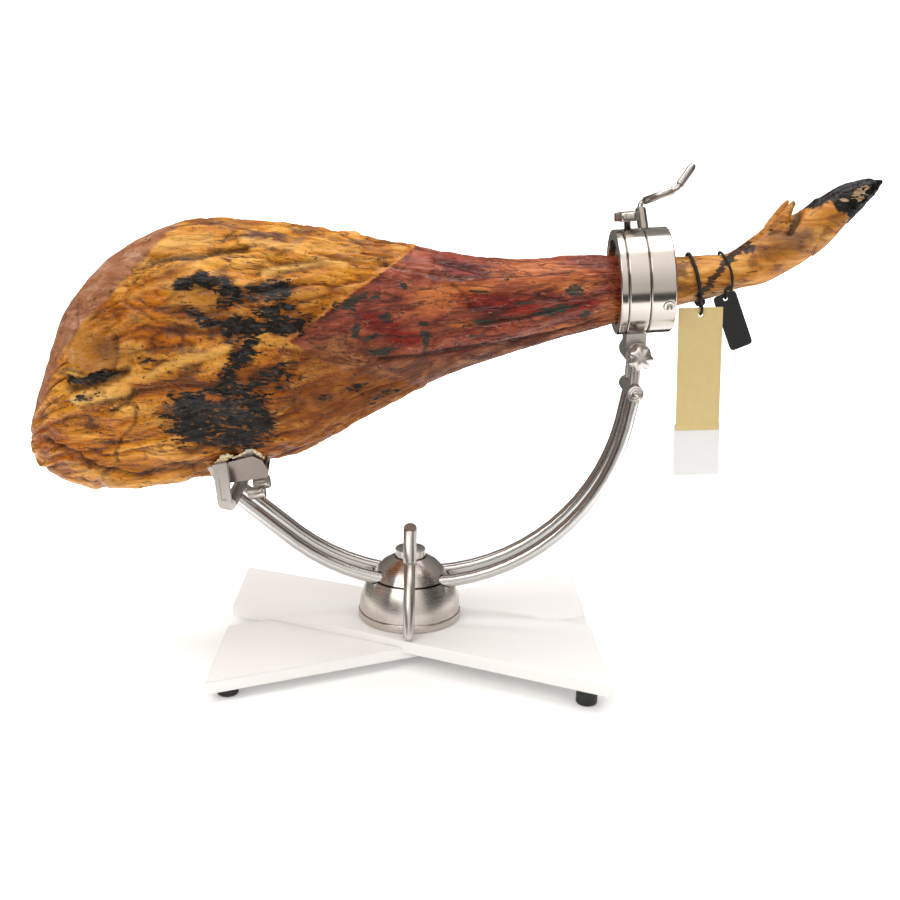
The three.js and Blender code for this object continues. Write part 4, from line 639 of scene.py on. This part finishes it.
def ham_material(names):
    material, nodes, links, shader = new_material("ham_surface")
    reads = {}
    for name in names:
        node = nodes.new("ShaderNodeAttribute")
        node.attribute_name = name
        reads[name] = node.outputs["Fac"]
    coords = nodes.new("ShaderNodeTexCoord")

    def grain(scale, detail, stretch=(1, 1, 1), distortion=0.0):
        mapping = nodes.new("ShaderNodeMapping")
        mapping.inputs["Scale"].default_value = stretch
        links.new(coords.outputs["Object"], mapping.inputs["Vector"])
        texture = nodes.new("ShaderNodeTexNoise")
        texture.inputs["Scale"].default_value = scale
        texture.inputs["Detail"].default_value = detail
        texture.inputs["Distortion"].default_value = distortion
        links.new(mapping.outputs["Vector"], texture.inputs["Vector"])
        return texture.outputs["Fac"]

    def ramp(source, *stops):
        node = nodes.new("ShaderNodeValToRGB")
        elements = node.color_ramp.elements
        while len(elements) < len(stops):
            elements.new(0.5)
        for element, (position, color) in zip(elements, stops):
            element.position = position
            element.color = (*color, 1)
        links.new(source, node.inputs["Fac"])
        return node.outputs["Color"]

    def set_or_link(source, socket):
        if isinstance(source, tuple):
            socket.default_value = (*source, 1)
        elif isinstance(source, (float, int)):
            socket.default_value = source
        else:
            links.new(source, socket)

    def blend(a, b, factor, mode="MIX"):
        node = nodes.new("ShaderNodeMix")
        node.data_type = "RGBA"
        node.blend_type = mode
        set_or_link(factor, node.inputs["Factor"])
        colors = [s for s in node.inputs if s.type == "RGBA"]
        set_or_link(a, colors[0])
        set_or_link(b, colors[1])
        return [s for s in node.outputs if s.type == "RGBA"][0]

    def calc(operation, a, b, clamp=True):
        node = nodes.new("ShaderNodeMath")
        node.operation = operation
        node.use_clamp = clamp
        set_or_link(a, node.inputs[0])
        set_or_link(b, node.inputs[1])
        return node.outputs["Value"]

    def step(source, low, high):
        node = nodes.new("ShaderNodeMapRange")
        node.interpolation_type = "SMOOTHSTEP"
        node.inputs["From Min"].default_value = low
        node.inputs["From Max"].default_value = high
        links.new(source, node.inputs["Value"])
        return node.outputs["Result"]

    def roughened(source, texture, amount):
        """A mask with a ragged edge: the mask plus some of a texture."""
        return calc("ADD", source, calc("MULTIPLY", calc("SUBTRACT", texture, 0.5, False), amount,
                                        False), False)

    def lines(scale, stretch, width, distortion):
        """Thin wandering lines, 1 on them."""
        texture = grain(scale, 4, stretch, distortion)
        apart = calc("ABSOLUTE", calc("SUBTRACT", texture, 0.5, False), 0.0, False)
        return step(apart, width, 0.0)

    broad = grain(16, 5, (0.55, 1, 1.5), 0.6)
    middle = grain(60, 8, (0.42, 1, 1.7), 0.9)
    blotch = grain(44, 8, (0.75, 1, 1.3), 1.1)
    fine = grain(230, 8, (0.55, 1, 1.6), 0.5)
    ragged = grain(140, 9, (0.5, 1, 1.6), 1.6)
    speckle = grain(420, 3)
    wrinkles = lines(24, (0.3, 1, 1.7), 0.016, 1.6)
    hairlines = lines(75, (0.35, 1, 1.6), 0.022, 1.2)

    # Fat
    deep = ramp(middle, (0.25, rgb(92, 44, 12)), (0.5, rgb(152, 84, 24)), (0.75, rgb(190, 114, 40)))
    golden = ramp(middle, (0.25, rgb(166, 94, 26)), (0.5, rgb(208, 138, 50)),
                  (0.78, rgb(234, 176, 92)))
    fat = blend(deep, golden, step(roughened(reads["tone"], broad, 0.8), 0.25, 0.85))
    # Painted shade in the fold valleys, and a painted highlight on the fold crests
    fat = blend(fat, ramp(middle, (0.3, rgb(104, 48, 12)), (0.8, rgb(160, 82, 24))),
                calc("MULTIPLY", step(reads["folds"], 0.5, 0.08), 0.7))
    fat = blend(fat, ramp(middle, (0.3, rgb(216, 150, 66)), (0.7, rgb(240, 190, 110))),
                calc("MULTIPLY", step(reads["folds"], 0.5, 0.95), 0.5))
    fat = blend(fat, ramp(middle, (0.3, rgb(170, 88, 14)), (0.7, rgb(206, 122, 32))),
                calc("MULTIPLY", step(roughened(reads["orange"], broad, 0.8), 0.25, 0.8), 0.6))
    fat = blend(fat, rgb(96, 50, 26), calc("MULTIPLY", step(grain(26, 7, (0.6, 1, 1.4), 1.2), 0.54,
                                                            0.68), 0.6))
    # Painted shade along the sharp valleys of the folds
    fat = blend(fat, rgb(58, 26, 8), calc("MULTIPLY", reads["valley_shade"],
                                          step(broad, 0.25, 0.55)))
    fat = blend(fat, rgb(74, 34, 10), calc("MULTIPLY", wrinkles, step(blotch, 0.4, 0.6)))
    fat = blend(fat, rgb(96, 46, 14), calc("MULTIPLY", hairlines, step(broad, 0.4, 0.6)))
    fat = blend(fat, ramp(broad, (0.3, rgb(214, 150, 68)), (0.7, rgb(238, 190, 112))),
                calc("MULTIPLY", step(roughened(reads["pale"], fine, 0.5), 0.15, 0.85), 0.9))
    fat = blend(fat, ramp(broad, (0.35, rgb(168, 110, 50)), (0.65, rgb(208, 150, 78))),
                calc("MULTIPLY", step(roughened(reads["lobe"], middle, 0.3), 0.35, 0.5), 0.85))
    fat = blend(fat, rgb(104, 62, 34), calc("MULTIPLY", reads["shade"], 0.8))
    fat = blend(fat, rgb(46, 22, 10), calc("MULTIPLY", step(speckle, 0.66, 0.7), 0.85))

    # Rind
    rind = ramp(middle, (0.25, rgb(108, 64, 44)), (0.5, rgb(158, 108, 80)), (0.78, rgb(202, 158, 130)))
    rind = blend(rind, rgb(158, 96, 46), calc("MULTIPLY", step(broad, 0.42, 0.7), 0.6))
    rind = blend(rind, rgb(70, 36, 24), calc("MULTIPLY", hairlines, 0.5))
    rind = blend(rind, rgb(54, 28, 20), calc("MULTIPLY", step(speckle, 0.64, 0.69), 0.8))

    # Meat
    meat = ramp(blotch, (0.25, rgb(70, 22, 16)), (0.42, rgb(112, 46, 34)), (0.58, rgb(152, 76, 56)),
                (0.76, rgb(196, 120, 92)))
    meat = blend(meat, ramp(middle, (0.3, rgb(82, 30, 22)), (0.7, rgb(168, 92, 70))), 0.4)
    brown = ramp(blotch, (0.25, rgb(56, 30, 18)), (0.48, rgb(108, 64, 38)), (0.74, rgb(172, 118, 74)))
    meat = blend(meat, brown, calc("MULTIPLY", reads["brown"], 0.85))
    meat = blend(meat, ramp(middle, (0.3, rgb(164, 82, 40)), (0.7, rgb(214, 134, 82))),
                 calc("MULTIPLY", step(roughened(reads["tan"], blotch, 0.9), 0.25, 0.8), 0.75))
    meat = blend(meat, ramp(middle, (0.3, rgb(78, 10, 8)), (0.7, rgb(142, 36, 26))),
                 calc("MULTIPLY", step(roughened(reads["red"], blotch, 0.9), 0.3, 0.7), 0.85))
    # Painted shade along the valleys in the meat
    meat = blend(meat, rgb(46, 14, 10), calc("MULTIPLY", reads["valley_shade"], 0.75))
    meat = blend(meat, rgb(58, 20, 14), calc("MULTIPLY", wrinkles, 0.7))
    # Painted highlight: small pale pink glints on the meat
    meat = blend(meat, rgb(212, 146, 118), calc("MULTIPLY", step(ragged, 0.6, 0.68), 0.45))
    fat = blend(fat, ramp(blotch, (0.25, rgb(66, 30, 12)), (0.5, rgb(124, 66, 26)),
                          (0.76, rgb(188, 118, 54))), calc("MULTIPLY", reads["brown"], 0.75))

    color = blend(fat, rind, step(roughened(reads["rind"], blotch, 0.9), 0.3, 0.72))
    color = blend(color, meat, reads["meat"])
    color = blend(color, ramp(fine, (0.3, rgb(186, 108, 44)), (0.7, rgb(220, 152, 76))),
                  calc("MULTIPLY", step(roughened(reads["edge"], fine, 0.9), 0.3, 0.8), 0.85))

    # Shank
    shank = ramp(middle, (0.25, rgb(122, 68, 24)), (0.5, rgb(192, 128, 58)),
                 (0.76, rgb(230, 178, 108)))
    shank = blend(shank, rgb(96, 52, 28), calc("MULTIPLY", step(blotch, 0.5, 0.66), 0.65))
    shank = blend(shank, rgb(66, 34, 18), calc("MULTIPLY", wrinkles, 0.7))
    shank = blend(shank, ramp(fine, (0.3, rgb(84, 56, 48)), (0.7, rgb(150, 112, 88))),
                  calc("MULTIPLY", reads["mauve"], 0.8))
    shank = blend(shank, ramp(fine, (0.3, rgb(22, 13, 9)), (0.75, rgb(78, 48, 30))),
                  step(roughened(reads["strip"], ragged, 2.6), 0.42, 0.56))
    color = blend(color, shank, reads["shank"])

    # Painted shade in the creases, then mould and marks
    # Painted shade: dark brown in the creases and the slit
    color = blend(color, rgb(38, 18, 8), calc("MULTIPLY", reads["crease_shade"], 0.9))
    halo = step(roughened(reads["mould"], blotch, 1.4), 0.2, 0.6)
    color = blend(color, ramp(middle, (0.3, rgb(50, 26, 10)), (0.7, rgb(110, 62, 24))),
                  calc("MULTIPLY", halo, 0.75))
    mould = ramp(fine, (0.3, rgb(6, 5, 5)), (0.52, rgb(17, 13, 10)), (0.62, rgb(40, 28, 18)),
                 (0.72, rgb(146, 98, 50)))
    color = blend(color, mould, step(roughened(reads["mould"], ragged, 2.4), 0.44, 0.54))
    green = ramp(fine, (0.3, rgb(16, 24, 20)), (0.7, rgb(50, 56, 42)))
    color = blend(color, green, calc("MULTIPLY", step(roughened(reads["green"], ragged, 2.0), 0.4,
                                                      0.54), 0.92))
    hoof = ramp(fine, (0.35, rgb(8, 8, 8)), (0.6, rgb(20, 18, 17)), (0.78, rgb(54, 46, 40)))
    hoof = blend(hoof, ramp(fine, (0.3, rgb(120, 92, 62)), (0.7, rgb(196, 172, 140))),
                 step(roughened(reads["scuffs"], ragged, 3.2), 0.66, 0.8))
    color = blend(color, hoof, reads["hoof"])
    vivid = nodes.new("ShaderNodeHueSaturation")
    vivid.inputs["Saturation"].default_value = 1.04
    vivid.inputs["Value"].default_value = 1.06
    links.new(color, vivid.inputs["Color"])
    links.new(vivid.outputs["Color"], shader.inputs["Base Color"])

    wet = calc("ADD", calc("MULTIPLY", step(fine, 0.35, 0.65), 0.2), 0.16)
    wet = calc("ADD", wet, calc("MULTIPLY", step(broad, 0.35, 0.65), 0.15))
    wet = calc("ADD", wet, calc("MULTIPLY", reads["rind"], 0.1))
    wet = calc("SUBTRACT", wet, calc("MULTIPLY", reads["meat"], 0.07))
    wet = calc("SUBTRACT", wet, calc("MULTIPLY", reads["hoof"], 0.14))
    links.new(wet, shader.inputs["Roughness"])
    shader.inputs["Specular IOR Level"].default_value = 0.27
    shader.inputs["Subsurface Weight"].default_value = 0.05
    shader.inputs["Subsurface Radius"].default_value = (0.004, 0.0015, 0.0006)
    height = calc("ADD", calc("MULTIPLY", middle, 1.0, False), calc("MULTIPLY", fine, 0.5, False),
                  False)
    height = calc("ADD", height, calc("MULTIPLY", ragged, 0.4, False), False)
    height = calc("SUBTRACT", height, calc("MULTIPLY", wrinkles, 0.35, False), False)
    relief = nodes.new("ShaderNodeBump")
    relief.inputs["Strength"].default_value = 0.75
    relief.inputs["Distance"].default_value = 0.0016
    links.new(height, relief.inputs["Height"])
    links.new(relief.outputs["Normal"], shader.inputs["Normal"])
    return material


def make_ham():
    made = ham_shell()
    at, normal = vertex_arrays(made.data)
    masks, height = ham_masks(at, normal)
    made.data.vertices.foreach_set("co", (at + normal * height[:, None] * MM).ravel())
    for name, values in masks.items():
        attribute(made.data, name, values)
    made.data.materials.clear()
    made.data.materials.append(ham_material(masks))
    made.data.update()
    return keep(made, "ham")


make_ham()

# Bits of fat and meat squeezed out along the rim of the cradle: centre, size and turn
FAT_BITS = [
    ((-172, -49.5, 201.5), (3.4, 2.2, 3.2), 0.2), ((-168, -50, 203.5), (2.4, 1.8, 2.2), 0.8),
    ((-175.5, -49, 198.5), (2.4, 1.6, 1.8), 0.4), ((-165, -50.5, 203), (2.6, 1.4, 1.3), -0.5),
    ((-178.5, -48.5, 196.8), (2.6, 1.2, 0.9), -0.4), ((-170, -50.5, 199.5), (3.2, 1.2, 1.0), -0.4),
    ((-161, -51, 202.5), (3.4, 1.2, 1.0), -0.45), ((-156, -51.5, 205), (3.2, 1.2, 1.1), -0.5),
    ((-151, -52, 207.5), (3.0, 1.2, 1.0), -0.5), ((-146.5, -52.3, 209.8), (2.4, 1.3, 1.2), -0.5),
    ((-143, -51, 208.5), (2.2, 1.6, 1.8), 0.6), ((-140.5, -49, 206), (2.6, 1.8, 2.0), 0.3),
    ((-138.5, -46.5, 203.5), (2.2, 1.8, 1.8), 0.9), ((-136.5, -43, 200.5), (1.6, 1.6, 1.6), 0.0),
]
DARK_BITS = [((-134.5, -40, 196), (1.5, 1.4, 4.2), 0.3), ((-132.5, -39, 192), (0.9, 0.9, 2.4), -0.4)]


def scatter(name, bits, material):
    """Small uneven lumps in one mesh, which ride with the ham."""
    shell = bmesh.new()
    for k, (at, size, turn) in enumerate(bits):
        made = bmesh.ops.create_icosphere(shell, subdivisions=3, radius=1.0)["verts"]
        corners = np.array([corner.co for corner in made])
        corners *= 1 + 0.34 * fractal(corners * 1.6 + 7.3 * k, 3, 80)[:, None]
        shape = Matrix.Translation(place(*at)) @ Matrix.Rotation(turn, 4, "Y")
        shape = shape @ Matrix.Diagonal((*[side * MM for side in size], 1))
        for corner, moved in zip(made, corners):
            corner.co = shape @ Vector(moved)
    mesh = bpy.data.meshes.new(name)
    shell.to_mesh(mesh)
    shell.free()
    for polygon in mesh.polygons:
        polygon.use_smooth = True
    mesh.materials.append(material)
    made = bpy.data.objects.new(name, mesh)
    bpy.context.scene.collection.objects.link(made)
    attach(made, BODY_OF["ham"])
    return made


scatter("fat_bits", FAT_BITS, plain("fat_cream", rgb(242, 222, 184), 0.4, 0.35, 500, 0.5))
scatter("dark_bits", DARK_BITS, plain("dark_meat", rgb(34, 18, 12), 0.4, 0.4, 500, 0.5))


# Studio


def add_stage(name, profile, material):
    """A wide sheet across the picture that follows a profile of (y, z) places, in metres."""
    corners = [Vector((side * FLOOR_HALF, y, z)) for y, z in profile for side in (-1, 1)]
    faces = [(2 * k, 2 * k + 1, 2 * k + 3, 2 * k + 2) for k in range(len(profile) - 1)]
    mesh = bpy.data.meshes.new(name)
    mesh.from_pydata(corners, [], faces)
    mesh.materials.append(material)
    for polygon in mesh.polygons:
        polygon.use_smooth = True
    made = bpy.data.objects.new(name, mesh)
    bpy.context.scene.collection.objects.link(made)
    return made


def glowing_floor():
    """White that glows by itself away from the object, so that its shadow keeps to it."""
    material = plain("floor_white", (0.9, 0.9, 0.9), 0.7, 0.01, 3, 0.0)
    nodes, links = material.node_tree.nodes, material.node_tree.links
    shader = nodes["Principled BSDF"]
    coords = nodes.new("ShaderNodeTexCoord")
    distance = nodes.new("ShaderNodeVectorMath")
    distance.operation = "LENGTH"
    links.new(coords.outputs["Object"], distance.inputs[0])
    glow = nodes.new("ShaderNodeMapRange")
    glow.interpolation_type = "SMOOTHSTEP"
    glow.inputs["From Min"].default_value = GLOW_FROM
    glow.inputs["From Max"].default_value = GLOW_TO
    glow.inputs["To Min"].default_value = GLOW_NEAR
    glow.inputs["To Max"].default_value = GLOW_FAR
    links.new(distance.outputs["Value"], glow.inputs["Value"])
    links.new(glow.outputs["Result"], shader.inputs["Emission Strength"])
    shader.inputs["Emission Color"].default_value = (1, 1, 1, 1)
    shader.inputs["Specular IOR Level"].default_value = 0.0
    return material


floor_white = glowing_floor()
add_stage("floor", [(FLOOR_FRONT, 0.0), (FLOOR_BACK, 0.0)], floor_white)
# The near floor is only seen: it lights nothing and shows in no steel
near = add_stage("floor_near", [(FLOOR_END, 0.0), (FLOOR_FRONT, 0.0)], floor_white)
near.visible_glossy = False
near.visible_diffuse = False
near.visible_shadow = False
wall_profile = [(FLOOR_BACK, 0.0)]
for k in range(WALL_BEND_STEPS + 1):
    turn = math.pi / 2 * k / WALL_BEND_STEPS
    wall_profile.append((WALL_AT - WALL_BEND + WALL_BEND * math.sin(turn),
                         WALL_BEND - WALL_BEND * math.cos(turn)))
wall_profile.append((WALL_AT, WALL_TALL))
wall = add_stage("wall", wall_profile, floor_white)
wall.visible_glossy = False


def add_light(name, at, aim, size, power, color):
    """A rectangular lamp."""
    data = bpy.data.lights.new(name, "AREA")
    data.shape = "RECTANGLE"
    data.size, data.size_y = size
    data.energy = power
    data.color = color
    made = bpy.data.objects.new(name, data)
    made.location = at
    made.rotation_euler = (Vector(aim) - Vector(at)).to_track_quat("-Z", "Y").to_euler()
    bpy.context.scene.collection.objects.link(made)
    return made


lamps = {light[0]: add_light(*light) for light in LIGHTS}
lamps["fill"].visible_glossy = False


def make_world():
    """A studio all round: bright and dark strips by compass direction, brighter overhead."""
    world = bpy.data.worlds.new("studio")
    world.use_nodes = True
    nodes, links = world.node_tree.nodes, world.node_tree.links
    coords = nodes.new("ShaderNodeTexCoord")
    axes = nodes.new("ShaderNodeSeparateXYZ")
    links.new(coords.outputs["Generated"], axes.inputs["Vector"])
    compass = nodes.new("ShaderNodeMath")
    compass.operation = "ARCTAN2"
    toward = nodes.new("ShaderNodeMath")
    toward.operation = "MULTIPLY"
    toward.inputs[1].default_value = -1.0
    links.new(axes.outputs["Y"], toward.inputs[0])
    links.new(axes.outputs["X"], compass.inputs[0])
    links.new(toward.outputs["Value"], compass.inputs[1])
    strips = nodes.new("ShaderNodeMapRange")
    strips.inputs["From Min"].default_value = -math.pi
    strips.inputs["From Max"].default_value = math.pi
    links.new(compass.outputs["Value"], strips.inputs["Value"])
    around = nodes.new("ShaderNodeValToRGB")
    fill_ramp(around, WORLD_STRIPS)
    links.new(strips.outputs["Result"], around.inputs["Fac"])
    rise = nodes.new("ShaderNodeMapRange")
    rise.inputs["From Min"].default_value = -1.0
    links.new(axes.outputs["Z"], rise.inputs["Value"])
    upward = nodes.new("ShaderNodeValToRGB")
    fill_ramp(upward, WORLD_RISE)
    links.new(rise.outputs["Result"], upward.inputs["Fac"])
    both = nodes.new("ShaderNodeMix")
    both.data_type = "RGBA"
    both.blend_type = "MULTIPLY"
    both.inputs["Factor"].default_value = 1.0
    colors = [socket for socket in both.inputs if socket.type == "RGBA"]
    links.new(around.outputs["Color"], colors[0])
    links.new(upward.outputs["Color"], colors[1])
    result = [socket for socket in both.outputs if socket.type == "RGBA"][0]
    links.new(result, nodes["Background"].inputs["Color"])
    nodes["Background"].inputs["Strength"].default_value = WORLD_STRENGTH
    return world


def fill_ramp(node, stops):
    elements = node.color_ramp.elements
    while len(elements) < len(stops):
        elements.new(0.5)
    for element, (position, gray) in zip(elements, stops):
        element.position = position
        element.color = (gray, gray * 0.985, gray * 0.96, 1)


bpy.context.scene.world = make_world()
bpy.context.scene.view_settings.view_transform = "Standard"

# Camera

forward = Vector((math.sin(CAMERA_YAW) * math.cos(CAMERA_PITCH),
                  math.cos(CAMERA_YAW) * math.cos(CAMERA_PITCH), -math.sin(CAMERA_PITCH)))
level = Vector((math.cos(CAMERA_YAW), -math.sin(CAMERA_YAW), 0))
upward = level.cross(forward)
right = level * math.cos(CAMERA_ROLL) + upward * math.sin(CAMERA_ROLL)
above = upward * math.cos(CAMERA_ROLL) - level * math.sin(CAMERA_ROLL)
camera = bpy.data.objects.new("camera", bpy.data.cameras.new("camera"))
camera.data.lens = CAMERA_LENS_MM
camera.data.sensor_width = CAMERA_SENSOR_MM
camera.matrix_world = Matrix.Translation(CAMERA_AT) @ Matrix(
    (right, above, -forward)).transposed().to_4x4()
bpy.context.scene.collection.objects.link(camera)
bpy.context.scene.camera = camera
